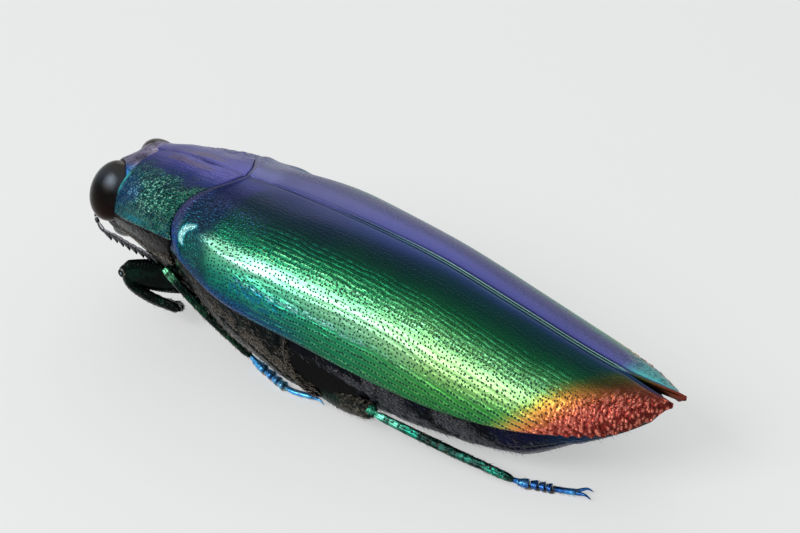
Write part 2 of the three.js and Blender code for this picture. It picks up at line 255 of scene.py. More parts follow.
def colour(code):  # "#rrggbb" as written on a screen, to the renderer's own values
    parts = [int(code[i:i + 2], 16) / 255 for i in (1, 3, 5)]
    return tuple(c / 12.92 if c <= 0.04045 else ((c + 0.055) / 1.055) ** 2.4 for c in parts) + (1.0,)


class Wire:  # a shader socket that can be used in sums
    def __init__(self, look, socket):
        self.look, self.socket = look, socket

    def other(self, name):  # another output of the same node
        return Wire(self.look, self.socket.node.outputs[name])

    def maths(self, operation, *others):
        values = dict(enumerate((self,) + others))
        return self.look.node("ShaderNodeMath", {"operation": operation}, values)

    def __add__(self, other):
        return self.maths("ADD", other)

    def __sub__(self, other):
        return self.maths("SUBTRACT", other)

    def __rsub__(self, other):
        return self.look.node("ShaderNodeMath", {"operation": "SUBTRACT"}, {0: other, 1: self})

    def __mul__(self, other):
        return self.maths("MULTIPLY", other)

    def __truediv__(self, other):
        return self.maths("DIVIDE", other)

    def __pow__(self, other):
        return self.maths("POWER", other)

    __radd__, __rmul__ = __add__, __mul__

    def wave(self, length):  # 1 on the crests, 0 in the troughs
        return (self * (2 * math.pi / length)).maths("COSINE") * 0.5 + 0.5

    def step(self, low, high):
        flip = low > high
        ends = {1: min(low, high), 2: max(low, high), 3: 1.0 if flip else 0.0, 4: 0.0 if flip else 1.0}
        return self.look.node("ShaderNodeMapRange", {"interpolation_type": "SMOOTHSTEP"}, {0: self, **ends})


def bumpMask(x, y, cx, cy, rx, ry):  # a soft spot, 1 at its middle
    away = ((x - cx) / rx) ** 2 + ((y - cy) / ry) ** 2
    return away.step(1.0, 0.0)


class Graph:
    def __init__(self, tree):
        self.tree = tree
        self.tree.nodes.clear()

    def node(self, kind, settings=None, sockets=None, out=0):
        node = self.tree.nodes.new(kind)
        for key, value in (settings or {}).items():
            if key == "stops":
                for i, (place, shade) in enumerate(value):
                    stop = node.color_ramp.elements[i] if i < 2 else node.color_ramp.elements.new(place)
                    stop.position, stop.color = place, shade
            else:
                setattr(node, key, value)
        for key, value in (sockets or {}).items():
            if isinstance(value, Wire):
                self.tree.links.new(value.socket, node.inputs[key])
            else:
                coded = isinstance(value, str) and value.startswith("#")
                node.inputs[key].default_value = colour(value) if coded else value
        return None if out is None else Wire(self, node.outputs[out])

    def vectorSum(self, first, second):
        return self.node("ShaderNodeVectorMath", {"operation": "ADD"}, {0: first, 1: second})

    def scaled(self, wire, amount):
        return self.node("ShaderNodeVectorMath", {"operation": "SCALE"}, {0: wire, 3: amount})


class Look(Graph):
    def __init__(self, name):
        self.material = bpy.data.materials.new(name)
        self.material.use_nodes = True
        self.shade = None
        super().__init__(self.material.node_tree)

    def mark(self, name, out="Fac"):
        return self.node("ShaderNodeAttribute", {"attribute_name": name}, out=out)

    def at(self, x, y):
        return self.node("ShaderNodeCombineXYZ", None, {0: x, 1: y})

    def noise(self, vector, detail=2.0):
        return self.node("ShaderNodeTexNoise", None, {"Vector": vector, "Scale": 1.0, "Detail": detail})

    def cells(self, vector, randomness=0.8, feature="F1"):
        return self.node("ShaderNodeTexVoronoi", {"feature": feature, "voronoi_dimensions": "2D"},
                         {"Vector": vector, "Scale": 1.0, "Randomness": randomness})

    def ownSpace(self):
        return self.node("ShaderNodeTexCoord", out="Object")

    def cloud(self, scale, detail):  # noise through the piece's own space, so many swells to the metre
        return self.noise(self.scaled(self.ownSpace(), scale), detail)

    def pores(self, scale, randomness=1.0):
        return self.node("ShaderNodeTexVoronoi", None,
                         {"Vector": self.ownSpace(), "Scale": scale, "Randomness": randomness})

    def blend(self, factor, low, high):
        return self.node("ShaderNodeMix", {"data_type": "RGBA"}, {0: factor, 6: low, 7: high}, out=2)

    def paint(self, factor, tint):  # a tint over the shade so far
        self.shade = self.blend(factor, self.shade, tint)

    def ramp(self, wire, *stops):
        shades = [(place, colour(code)) for place, code in stops]
        return self.node("ShaderNodeValToRGB", {"stops": shades}, {0: wire})

    def relief(self, height):  # height in millimetres
        return self.node("ShaderNodeBump", None, {"Height": height, "Distance": 0.001})

    def done(self, **sockets):
        names = {"rough": "Roughness", "metal": "Metallic", "normal": "Normal",
                 "coat": "Coat Weight", "coatRough": "Coat Roughness", "specular": "Specular IOR Level"}
        given = {names[key]: value for key, value in sockets.items()}
        shader = self.node("ShaderNodeBsdfPrincipled", None, {"Base Color": self.shade, **given})
        output = self.tree.nodes.new("ShaderNodeOutputMaterial")
        self.tree.links.new(shader.socket, output.inputs[0])
        return self.material


finishes = {
    "wing case": {"metal": 0.97, "coat": 0.08, "coatRough": 0.16},
    "pronotum": {"metal": 0.95, "coat": 0.08, "coatRough": 0.2},
    "head": {"metal": 0.65},
    "eye": {"metal": 0.75, "specular": 0.2},
    "small parts": {"metal": 0.5, "coat": 0.3},
}


def wear(piece, material):
    piece.data.materials.clear()
    piece.data.materials.append(material)
    return piece


def handIn(piece, slot, *nodes):
    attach(piece, "root")
    if nodes:
        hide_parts(*nodes)


# wing cases

wingCases = {"along": 330, "across": 200, "innerShare": 5, "thickness": 0.46, "edgeThickness": 0.28,
             "ribPitch": 0.42, "finePitch": 0.29, "ribHeight": 0.006, "costaPitch": 1.55,
             "costaHeight": 0.007, "teethPitch": 0.66, "teethSize": 0.26, "tipParting": 0.5,
             "halfGap": 0.03, "rightOverhang": 0.25, "callus": 0.2, "topColumn": 60}
edgeStations = np.linspace(0, trunk["length"], 600)
edgeRun = np.cumsum(np.hypot(np.gradient(edgeStations),
                             np.hypot(np.gradient(halfWidth(edgeStations)),
                                      np.gradient(edgeHeight(edgeStations)))))


def sweep(station, share):
    return baseSweep(share) * np.maximum(0, 1 - station / 6.0) ** 2


def wingPoint(u, v, inset, overhang):
    bow = (1 - np.cos(u * math.pi)) / 2
    station = trunk["length"] * mix(u, bow, 0.35)
    angle = v * math.pi / 2
    exponent = 2 / archRoundness(station)
    edge = edgeHeight(station)
    rise = np.maximum(sutureHeight(station) - inset - edge, 0.05)
    width = halfWidth(station) - inset
    share = np.sin(angle) ** exponent
    y = width * share
    z = edge + rise * np.maximum(np.cos(angle), 0) ** exponent
    x = station - sweep(station, y / halfWidth(station))
    parting = wingCases["halfGap"] + wingCases["tipParting"] * np.maximum(0, (u - 0.86) / 0.14)
    y = mix(parting, np.maximum(width, parting + 0.1), share)
    return np.stack([x + overhang * u ** 3, -y, z], -1), station


def wingRelief(station, v, arc):
    w = wingCases
    side = step(v, 0.3, 0.5) * step(station, 3.0, 7.0)
    wander = arc + 0.2 * grain(station * 0.35, arc * 0.5, 5)
    ribs = w["ribHeight"] * np.cos(2 * math.pi * wander / w["ribPitch"]) * side
    ribs += w["costaHeight"] * np.cos(2 * math.pi * wander / w["costaPitch"]) * side * step(station, 27, 22)
    callus = w["callus"] * bump(station, v, 1.45, 0.62, 0.75, 0.07)
    ridge = 0.1 * peak(v, 0.665, 0.035) * step(station, 1.9, 2.7) * step(station, 7.0, 3.0)
    hollow = ridge - 0.22 * bump(station, v, 2.6, 0.46, 1.4, 0.09)
    hollow -= 0.1 * bump(station, v, 0.7, 0.3, 0.7, 0.12)
    hollow -= 0.12 * bump(station, v, 3.4, 0.85, 1.8, 0.06)
    waves = 0.035 * grain(station * 0.55, arc * 0.7, 3) * step(station, 9, 0)
    rasp = step(station + 2.6 * v, 25.2, 28.0) * step(v, 0.05, 0.3)
    bumps = rasp * (0.05 * grain(station * 3.8, arc * 2.4, 8) + 0.03 * grain(station * 8, arc * 5, 9))
    bead = step(station, 1, 4) * (0.03 * peak(arc, 0.05, 0.05) - 0.03 * peak(arc, 0.18, 0.06))
    baseBead = 0.07 * peak(station, 0.25, 0.2)
    return ribs + callus + hollow + waves + bumps + bead + baseBead


def teeth(station, v):
    w = wingCases
    phase = (np.interp(station, edgeStations, edgeRun) / w["teethPitch"]) % 1
    saw = np.where(phase < 0.75, phase / 0.75, (1 - phase) / 0.25)
    size = step(station, 23.5, 26.5) * step(station, 29.5, 28.9)
    size = size * mix(0.5, 1.0, 0.5 + 0.5 * grain(station * 1.3, station * 0, 4))
    return w["teethSize"] * saw * size * step(v, 0.965, 1.0)


def teethWays(station):  # down and out from the edge
    slope = (halfWidth(station + 0.1) - halfWidth(station - 0.1)) / 0.2
    outward = np.stack([-slope, -np.ones_like(slope), np.full_like(slope, -0.5)], -1)
    return outward / np.linalg.norm(outward, axis=-1, keepdims=True)


def upwardNormals(outer):
    normal = np.cross(np.gradient(outer, axis=0), np.gradient(outer, axis=1))
    normal /= np.maximum(np.linalg.norm(normal, axis=2, keepdims=True), 1e-9)
    column = wingCases["topColumn"]
    return normal * np.sign(normal[:, column:column + 1, 2:3])


def shellFaces(rows, wide, thin):  # a fine outer skin and a coarse inner one, joined all round
    faces = []
    first = rows * wide
    for i in range(rows - 1):
        a = i * wide
        faces += [(a + j, a + j + 1, a + j + 1 + wide, a + j + wide) for j in range(wide - 1)]
        b = first + i * thin
        faces += [(b + j + thin, b + j + 1 + thin, b + j + 1, b + j) for j in range(thin - 1)]
        faces.append((a + wide, b + thin, b, a))
        faces.append((a + wide - 1, b + thin - 1, b + 2 * thin - 1, a + 2 * wide - 1))
    share = wingCases["innerShare"]
    for row, flip in ((0, False), (rows - 1, True)):
        for j in range(thin - 1):
            top = [row * wide + j * share + i for i in range(share + 1)]
            low = [first + row * thin + j + 1, first + row * thin + j]
            face = tuple(top + low)
            faces.append(face if flip else face[::-1])
    return faces


def makeWingCase(side):
    w = wingCases
    overhang = w["rightOverhang"] if side == "right" else 0.0
    us, vs = np.linspace(0, 1, w["along"] + 1), np.linspace(0, 1, w["across"] + 1)
    vs = mix(vs, 1 - (1 - vs) ** 1.3, 0.5)
    u, v = np.meshgrid(us, vs, indexing="ij")
    outer, station = wingPoint(u, v, np.zeros_like(u), overhang)
    steps = np.linalg.norm(np.diff(outer, axis=1), axis=2)
    arc = np.concatenate([np.zeros_like(u[:, :1]), np.cumsum(steps, axis=1)], 1)
    normal = upwardNormals(outer)
    rim = 1 - 0.25 * peak(u, 0, 0.012) - 0.2 * peak(v, 1, 0.012)
    outer = outer - normal * ((1 - rim) * w["thickness"])[..., None]
    outer = outer + normal * (wingRelief(station, v, arc) * rim)[..., None]
    outward = teethWays(station)
    outer = outer + outward * teeth(station, v)[..., None]
    few = np.arange(0, w["across"] + 1, w["innerShare"])
    thickness = mix(w["thickness"], w["edgeThickness"], v[:, few] ** 6)
    inner, _ = wingPoint(u[:, few], v[:, few], thickness, overhang)
    inner = inner + outward[:, few] * teeth(station, v)[:, few][..., None] * 0.6
    points = np.concatenate([outer.reshape(-1, 3), inner.reshape(-1, 3)])
    faces = shellFaces(len(us), len(vs), len(few))
    pick = lambda grid: np.concatenate([grid.ravel(), grid[:, few].ravel()])
    marks = {"station": pick(station), "across": pick(v), "arc": pick(arc)}
    piece = makePiece("wingCase_" + side, points, faces, marks, mirrored=side == "right")
    return turnOutward(piece)


nearColoursAndHighlight = {  # from the suture (0) to the outer edge (1), at four places along the wing case; the pale band at about .55 to .73 across is a painted highlight
    "front": [(0.0, "#1f2654"), (0.08, "#28306a"), (0.2, "#252d62"), (0.31, "#18264a"), (0.42, "#112239"),
              (0.55, "#13293f"), (0.66, "#114a50"), (0.74, "#0d4a46"), (0.86, "#083a40"), (0.95, "#0d2e5a"),
              (1.0, "#112a6e")],
    "shoulder": [(0.0, "#242e5e"), (0.07, "#1e2a54"), (0.16, "#102744"), (0.28, "#0a3438"),
                 (0.42, "#0b4f39"), (0.54, "#219464"), (0.62, "#94e0b8"), (0.7, "#62c89c"),
                 (0.8, "#168a70"), (0.9, "#0d6f64"), (0.96, "#0c5068"), (1.0, "#0f3a78")],
    "middle": [(0.0, "#1a3668"), (0.06, "#10265a"), (0.13, "#0a2a44"), (0.22, "#093a35"), (0.34, "#0d5236"),
               (0.46, "#1e7847"), (0.55, "#58ae77"), (0.63, "#8cce9d"), (0.72, "#84ca9d"),
               (0.82, "#2c9664"), (1.0, "#0f7044")],
    "rear": [(0.0, "#224468"), (0.05, "#16335c"), (0.1, "#0d3644"), (0.2, "#0a4038"), (0.31, "#135c36"),
             (0.42, "#3a864b"), (0.53, "#77b973"), (0.63, "#9cd088"), (0.73, "#96ca7a"), (0.84, "#46a044"),
             (1.0, "#1f7836")],
}
# the far wing case is painted more violet than the near one, as its sheen looks from one side, with its own
# painted highlight band
farColoursAndSheen = {
    "front": [(0.0, "#454a82"), (0.1, "#5a5e92"), (0.3, "#686c98"), (0.5, "#525c88"), (0.64, "#33527a"),
              (0.76, "#1c7a68"), (0.88, "#126460"), (1.0, "#112a6e")],
    "shoulder": [(0.0, "#373c74"), (0.1, "#474a80"), (0.3, "#565b86"), (0.45, "#34667e"), (0.6, "#3aa37d"),
                 (0.8, "#0d7d79"), (1.0, "#0a4253")],
    "middle": [(0.0, "#303676"), (0.1, "#3f4384"), (0.28, "#505289"), (0.4, "#3d5c83"), (0.52, "#2a8b6c"),
               (0.66, "#74c292"), (1.0, "#16754f")],
    "rear": [(0.0, "#303776"), (0.1, "#3c4082"), (0.26, "#4b4c86"), (0.38, "#346679"), (0.5, "#499f6e"),
             (0.68, "#a3d081"), (1.0, "#347d40")],
}


class WingLook(Look):  # s is the station back along the beetle, v the share across, arc the way across
    def __init__(self, side):
        super().__init__("wing case " + side)
        self.side = side
        self.s, self.v, self.arc = self.mark("station"), self.mark("across"), self.mark("arc")
        self.drift = self.noise(self.at(self.s * 0.35, self.arc * 0.5), 3.0) - 0.5
        self.streak = self.noise(self.at(self.s * 0.9, self.arc * 5.0), 3.0) - 0.5
        self.speck = self.noise(self.at(self.s * 7.0, self.arc * 9.0), 2.0) - 0.5
        self.late = (self.s + self.v * 5.4 + self.drift * 0.9 + self.streak * 0.7 - 28.4) * 0.14 + 0.43
        if side == "left":
            self.reach = self.v.step(0.0, 0.12)
        else:
            # on the far case copper reaches only the outer part; by the suture its tip is painted teal, as
            # its sheen looks from one side
            self.reach = self.arc.step(0.3, 0.1) + self.v.step(0.4, 0.6)


def wingSheen(look):  # four bands of colour from front to rear with painted highlights, and the violet front edge
    s, v, drift, streak = look.s, look.v, look.drift, look.streak
    shades = nearColoursAndHighlight if look.side == "left" else farColoursAndSheen
    v1 = v + drift * 0.06 + streak * 0.03
    s1 = s + drift * 3.0
    front, shoulder, middle, rear = (look.ramp(v1, *shades[zone]) for zone in shades)
    look.shade = look.blend((s + drift * 1.5).step(1.5, 2.5), front, shoulder)
    # a painted highlight where the bright streak starts behind the shoulder
    streakHighlight = bumpMask(s, v + streak * 0.02, 4.3, 0.665, 2.1, 0.04)
    look.paint(streakHighlight * 0.7, "#b4f2da")
    look.paint(s1.step(6.0, 11.0), middle)
    look.paint(s1.step(11.0, 18.0), rear)
    base = (s + streak * 0.2).step(0.55, 0.2) * v.step(0.2, 0.5)
    violet = look.ramp(v, (0.2, "#544f8c"), (0.6, "#4c4580"), (0.8, "#1c3f96"), (1.0, "#173a8c"))
    look.paint(base * 0.8, violet)


def crescentHighlight(look):  # a painted highlight on the rim of the callus at the front corner
    s, v = look.s, look.v
    away = ((s - 1.45) ** 2 + ((v - 0.75) * 5.0) ** 2) ** 0.5 - 0.86 + look.streak * 0.12
    within = v.step(0.53, 0.6) * v.step(0.82, 0.77) * s.step(1.4, 1.1)
    crescent = away.maths("ABSOLUTE").step(0.24, 0.0) * within
    glare = look.blend(crescent.step(0.35, 0.9), "#2496a8", "#b4f4f0")
    look.paint(crescent.step(0.1, 0.5), glare)


def bluePatch(look):  # a puckered patch behind the shoulder, and the blue outer edge
    s, v, drift, speck = look.s, look.v, look.drift, look.speck
    patch = bumpMask(s + drift * 2.0, v + drift * 0.2, 5.4, 0.835, 2.4, 0.09)
    pucker = look.noise(look.at(s * 2.0 + look.streak, look.arc * 3.4 - s * 0.8), 2.0)
    puckered = bumpMask(s + drift * 2.0, v + drift * 0.2, 5.6, 0.83, 4.2, 0.13)
    look.paint(puckered * pucker.step(0.52, 0.62) * 0.55, "#36b07c")
    look.paint(puckered * pucker.step(0.48, 0.38) * 0.5, "#0a4c6c")
    flecks = (speck.step(-0.14, 0.08) * 0.5 + 0.1) * pucker.step(0.62, 0.48)
    look.paint(patch * flecks, "#1278b4")
    edge = (v + drift * 0.08).step(0.9, 0.985) * s.step(10.0, 4.0)
    look.paint(edge * 0.8, look.blend(speck.step(-0.1, 0.12), "#0e2450", "#1f5c9c"))
    return pucker * puckered * 0.12


def copperTip(look):  # gold to copper at the rear, darker towards the suture
    s, v, arc, late = look.s, look.v, look.arc, look.late
    sunset = look.ramp(late, (0.1, "#86bc50"), (0.22, "#b4b04a"), (0.32, "#eca84e"), (0.42, "#e88c4c"),
                       (0.55, "#c85e4c"), (0.75, "#a0403a"), (0.97, "#64241e"))
    dusk = look.ramp(late, (0.1, "#1c4a26"), (0.3, "#46421e"), (0.42, "#6a3a20"), (0.6, "#7a3226"),
                     (0.97, "#381310"))
    sunset = look.blend(v.step(0.62, 0.26), sunset, dusk)
    look.paint(late.step(0.06, 0.26) * look.reach, sunset)
    # the far case's tip is painted teal, as its sheen looks from one side
    if look.side == "right":
        teal = s.step(25.6, 27.2) * arc.step(0.15, 0.3) * v.step(0.6, 0.42)
        look.paint(teal, "#3d9a9c")


def sutureHighlightAndShade(look):  # a painted highlight along the sutural bead, painted shade in the groove on both sides of it and in the seam between the cases
    s, arc = look.s, look.arc
    seam = s.step(6.0, 9.0) * s.step(26.5, 25.5)
    line = look.blend(s.step(8.0, 16.0), "#2f7cac", "#a0dcc4")
    clear = 0.75 if look.side == "right" else 0.4
    look.paint(arc.step(0.12, 0.08) * seam * clear * s.step(4.0, 16.0), line)
    look.paint(arc.step(0.1, 0.14) * arc.step(0.28, 0.2) * seam * 0.5, "#0c1c30")
    look.paint(arc.step(0.04, 0.015) * seam, "#0a1420")


def ribsAndPits(look):  # punctures loose above and in rows below, with dashed ribs between; painted shade in the pits and troughs, painted highlights on the rib crests and the costa
    s, v, arc, drift, streak = look.s, look.v, look.arc, look.drift, look.streak
    flatSide = v.step(0.77, 0.83) * s.step(4.0, 7.0)
    wander = arc + drift * 0.5
    loose = look.cells(look.at(s * 4.2 + drift * 3.0, arc * 4.4 + drift * 2.0), 0.72)
    rowPlace = wander / wingCases["ribPitch"] + 0.5
    row = rowPlace.maths("FLOOR")
    jitter = look.noise(look.at(s * 3.4, row * 3.7), 1.0) - 0.5
    stepAlong = s / 0.22 + row * 0.37 + jitter * 0.9
    beside = (rowPlace - row - 0.5) * wingCases["ribPitch"] + jitter * 0.22
    onward = (stepAlong.maths("FRACT") - 0.5) * 0.17
    fromPit = (beside ** 2 + onward ** 2) ** 0.5
    size = (look.noise(look.at(s * 1.6, arc * 1.8), 2.0) - 0.5) * 0.16
    flank = v.step(0.84, 0.78) + s.step(7.0, 4.0) * v.step(0.78, 0.84)
    loosePit = (loose - size).step(0.27, 0.16) * v.step(0.42, 0.52) * flank * s.step(1.5, 2.3)
    rowPit = (fromPit - size * 0.4).step(0.085, 0.05) * flatSide
    small = look.cells(look.at(s * 6.0, wander / wingCases["finePitch"] + 0.5), 0.5)
    small = small.step(0.32, 0.14) * v.step(0.08, 0.22) * v.step(0.6, 0.5)
    pit = loosePit.maths("MAXIMUM", rowPit)

    dash = look.noise(look.at(s * 2.4, wander * 7.0), 2.0)
    fineRib = (wander + streak * 0.12).wave(wingCases["finePitch"]).step(0.4, 0.85)
    upper = v.step(0.24, 0.34) * v.step(0.62, 0.54) * s.step(3.0, 6.0) * look.late.step(0.3, 0.05)
    # painted glints along the fine ribs' crests, brightest next to the highlight band, and painted shade
    # between the ribs
    glow = dash.step(0.44, 0.56) * fineRib * upper * (v.step(0.26, 0.5) * 0.6 + 0.4)
    ribGlints = look.ramp(v + s * 0.004, (0.26, "#1c7a64"), (0.42, "#1a9460"), (0.56, "#84e49c"))
    look.paint(fineRib.step(0.6, 0.0) * upper * 0.3, "#052f2a")
    look.paint(glow * 0.75, ribGlints)
    rib = wander.wave(wingCases["ribPitch"])
    green = look.late.step(0.5, 0.2) * flatSide
    # painted shade in the troughs of the lower ribs, painted highlights on their crests
    look.paint(rib.step(0.4, 0.0) * green * 0.28, "#07564a")
    crestHighlight = look.blend(s.step(6, 16), "#46c4a4", "#7fd47c")
    look.paint(rib.step(0.5, 0.9) * dash.step(0.34, 0.5) * green * 0.6, crestHighlight)
    # a painted highlight along the costa below the highlight band
    costa = bumpMask(s, v + drift * 0.05, 9.0, 0.79, 7.0, 0.03)
    look.paint(costa * dash.step(0.4, 0.6) * look.speck.step(-0.12, 0.1) * 0.85, "#a8ecec")
    # painted shade in the punctures and the small pits
    hole = look.blend(look.late.step(0.25, 0.5) * look.reach, "#07343a", "#641f12")
    look.paint(pit * 0.9, hole)
    look.paint(small * 0.55, "#042a2e")
    height = pit * -0.05 + small * -0.022 + fineRib * upper * 0.014 + rib * flatSide * 0.025
    return pit, height + dash * (upper + flatSide) * 0.03


def grainyFront(look):  # a fine net at the shoulder
    s, v = look.s, look.v
    grainy = s.step(6.0, 2.6) * v.step(0.2, 0.34) * (1.0 - v.step(0.54, 0.62) * s.step(1.3, 2.3))
    web = look.cells(look.at(s * 8.5 + look.streak * 2, look.arc * 8.5 + look.drift * 2), 1.0)
    net = look.ramp(v, (0.3, "#3a5092"), (0.5, "#20627a"), (0.8, "#187460"))
    look.paint(web.step(0.45, 0.7) * grainy * 0.5, net)
    look.paint(web.step(0.36, 0.1) * grainy * 0.45, "#0a1c3a")
    return web * grainy * -0.05


def raspTipLightAndShade(look):  # the rear end is rough like a rasp: painted highlights on the tops of its bumps, painted shade between them
    s, v, arc, drift, streak = look.s, look.v, look.arc, look.drift, look.streak
    rasp = look.cells(look.at(s * 5.2 + drift * 5.0 + streak, arc * 2.7 + streak * 1.5), 1.0)
    filed = look.late.step(0.3, 0.55) * v.step(0.12, 0.4) * look.reach
    look.paint(rasp.step(0.45, 0.12) * filed * 0.72, "#f48e78")
    look.paint(rasp.step(0.42, 0.75) * filed * 0.6, "#64180f")
    return rasp * filed * -0.1


def wingCaseLook(side):
    look = WingLook(side)
    wingSheen(look)
    if side == "left":
        crescentHighlight(look)
    puckers = bluePatch(look)
    copperTip(look)
    sutureHighlightAndShade(look)
    pit, rows = ribsAndPits(look)
    net = grainyFront(look)
    rasp = raspTipLightAndShade(look)
    height = rows + net + look.speck * 0.012 + rasp + puckers
    rough = 0.33 + look.speck * 0.12 + pit * 0.2 + look.late.step(0.5, 0.9) * 0.05
    return look.done(rough=rough, normal=look.relief(height), **finishes["wing case"])


for side in ("left", "right"):
    case = wear(makeWingCase(side), wingCaseLook(side))
    handIn(case, "wing_case", "elytron_" + side)
print("wing cases made")


# pronotum

collar = {"front": -7.1, "along": 190, "around": 420, "gap": 0.07, "sideGap": 0.03}
collarHeight = smooth([(0, 3.95), (0.35, 4.4), (0.7, 4.6), (1, 4.68)])
collarWidth = smooth([(0, 3.3), (0.3, 4.1), (0.6, 4.75), (0.85, 5.15), (1, 5.25)])
carinaHeight = smooth([(0, 0.3), (0.3, 0.85), (0.6, 1.4), (1, 1.9)])
collarRoundness = smooth([(0, 2.0), (1, 1.8)])
sternumDepth = smooth([(0, 1.9), (0.5, 2.8), (1, 3.8)])


def signedPower(x, exponent):
    return np.sign(x) * np.abs(x) ** exponent


def collarPlace(upper, relief):
    def place(t, angle, r):
        side, cosine = np.sin(angle), np.cos(angle)
        edge = carinaHeight(t) + (collar["sideGap"] / 2 if upper else -collar["sideGap"] / 2)
        exponent = 2 / (collarRoundness(t) if upper else 1.8)
        arched = (cosine >= 0) == upper
        height = collarHeight(t) - edge if upper else sternumDepth(t) + edge
        swell = relief(t, angle) * arched
        y = np.where(arched, signedPower(side, exponent), side) * (collarWidth(t) + swell) * r
        z = edge + np.where(arched, signedPower(cosine, exponent) * (height + swell) * r, 0)
        front = collar["front"] - 0.75 * side ** 2
        share = np.minimum(np.abs(y) / 5.55, 1)
        x = mix(front, -collar["gap"] - baseSweep(share), t)
        rounding = (peak(t, 0, 0.02) + 0.5 * peak(t, 1, 0.01)) * r
        return np.stack([x, y * (1 - 0.02 * rounding), z - 0.08 * rounding * (1 if upper else -1)], -1)
    return place


def aroundShare(angle):  # 0 on the middle line of the back, 1 at the side edge
    return np.minimum(1 - np.abs(1 - np.mod(angle, 2 * math.pi) / math.pi), 0.5) * 2


def pronotumRelief(t, angle):
    v = aroundShare(angle)
    arc = angle * 4.6
    low = 0.06 * grain(t * 5, arc * 0.6, 21)
    low = low - 0.14 * bump(t, v, 0.72, 0.36, 0.14, 0.12) - 0.05 * bump(t, v, 0.5, 0, 0.4, 0.03)
    coarse = step(v, 0.22, 0.45)
    rough = coarse * (0.03 * grain(t * 26, arc * 3.6, 22) + 0.02 * grain(t * 52, arc * 7, 23))
    rim = 0.07 * peak(t, 0.012, 0.012)
    carina = 0.08 * peak(v, 0.95, 0.02) - 0.07 * peak(v, 0.89, 0.03)
    return low + rough * step(t, 0.02, 0.12) + rim + carina * step(t, 0.1, 0.3)


def collarMarks(t, angle, r):
    return {"station": t * 7.0, "across": aroundShare(angle), "arc": angle * 4.6,
            "far": step(np.sin(angle), 0.0, 0.3)}


def pronotumLook():
    look = Look("pronotum")
    s, v, arc = look.mark("station"), look.mark("across"), look.mark("arc")
    drift = look.noise(look.at(s * 0.5, arc * 0.5), 3.0) - 0.5
    streak = look.noise(look.at(s * 0.7, arc * 3.6), 3.0) - 0.5
    # the far half is painted more violet, as its sheen looks from one side
    v1 = v * (look.mark("far") * -0.5 + 1) + drift * 0.26 + streak * 0.2
    look.shade = look.ramp(v1, (0.0, "#47468a"), (0.14, "#4b4a96"), (0.24, "#34407f"), (0.33, "#183052"),
                      (0.41, "#0e3a4a"), (0.52, "#094752"), (0.66, "#094a50"), (0.8, "#0c4458"),
                      (0.9, "#176c78"), (1.0, "#144a70"))
    umber = bumpMask(s, v + streak * 0.08, 3.4, 0.1, 2.6, 0.06)
    look.paint(umber * 0.7, "#5f5468")
    blue = bumpMask(s + drift * 2.0, v + drift * 0.3, 1.2, 0.66, 2.0, 0.22)
    look.paint(blue * 0.8, "#124f86")
    cell = look.at(s * 4.9 + streak * 2.0, arc * 5.2 + drift * 3.0)
    pits = look.cells(cell, 1.0)
    web = look.cells(cell, 1.0, "DISTANCE_TO_EDGE")
    coarse = (v1 + streak * 0.1).step(0.24, 0.48)
    # painted shade in the pits
    pit = pits.step(0.45, 0.12) * coarse
    look.paint(pit * 0.9, "#03141f")
    # the network's ridges are partly their own green and cyan, partly painted glints; the facets' sparkles
    # are painted glints, strongest in the middle of the side
    centre = bumpMask(s + drift * 2.0, v + drift * 0.2, 3.6, 0.58, 3.4, 0.26)
    lit = look.noise(look.at(s * 1.3, arc * 1.3), 3.0).step(0.36, 0.6) * 0.7 + 0.3
    tint = look.ramp(s * 0.14, (0.1, "#38a8cc"), (0.35, "#3ccabc"), (0.8, "#44d49c"))
    tint = look.blend(blue, tint, "#4a9ee0")
    look.paint(web.step(0.11, 0.0) * coarse * lit * 0.85, tint)
    facet = pits.other("Color").step(0.48, 0.6)
    spark = facet * pits.step(0.5, 0.2) * coarse * (centre * 0.8 + 0.3)
    look.paint(spark, look.blend(blue, "#b0ffe0", "#9ce0ff"))
    # a painted highlight on the front rim behind the eye
    crescent = s.step(0.42, 0.2) * v.step(0.42, 0.5) * v.step(0.78, 0.66)
    look.paint(crescent, "#58dce0")
    keel = bumpMask(s, v + streak * 0.03, 3.2, 0.915, 1.5, 0.04)
    look.paint(keel * 0.8, "#2aa4b4")
    line = s.step(0.2, 0.08) * v.step(0.48, 0.4)
    look.paint(line * 0.9, "#8e8cb4")
    brown = v.step(0.955, 0.975)
    look.paint(brown, "#221a16")
    fine = look.noise(look.at(s * 8, arc * 8), 3.0) - 0.5
    height = pit * -0.1 + web.step(0.14, 0.0) * coarse * 0.04 + fine * 0.03 + streak * 0.03
    return look.done(rough=0.3 + fine * 0.12, normal=look.relief(height),
                     **finishes["pronotum"])


pronotum = loft("pronotum_shell", collar["along"], collar["around"],
                collarPlace(True, pronotumRelief), collarMarks, cap=6)
handIn(wear(turnOutward(pronotum), pronotumLook()), "pronotum", "pronotum")
print("pronotum made")


# head and eyes

head = {"centre": (-7.9, 0, 0.7), "half": (2.4, 3.0, 3.3), "lean": 0.83, "rings": 150, "around": 220,
        "furrow": 0.35, "eyeRim": 0.07, "grain": 0.05}
eye = {"centre": (-8.55, -2.35, 1.32), "half": (1.55, 1.2, 1.975), "roll": -27, "yaw": 6, "rings": 90,
       "around": 120}


def turning(axis, degrees):
    return np.array(Matrix.Rotation(math.radians(degrees), 3, axis))


eyeTurn = turning("X", eye["roll"]) @ turning("Y", eye["yaw"])


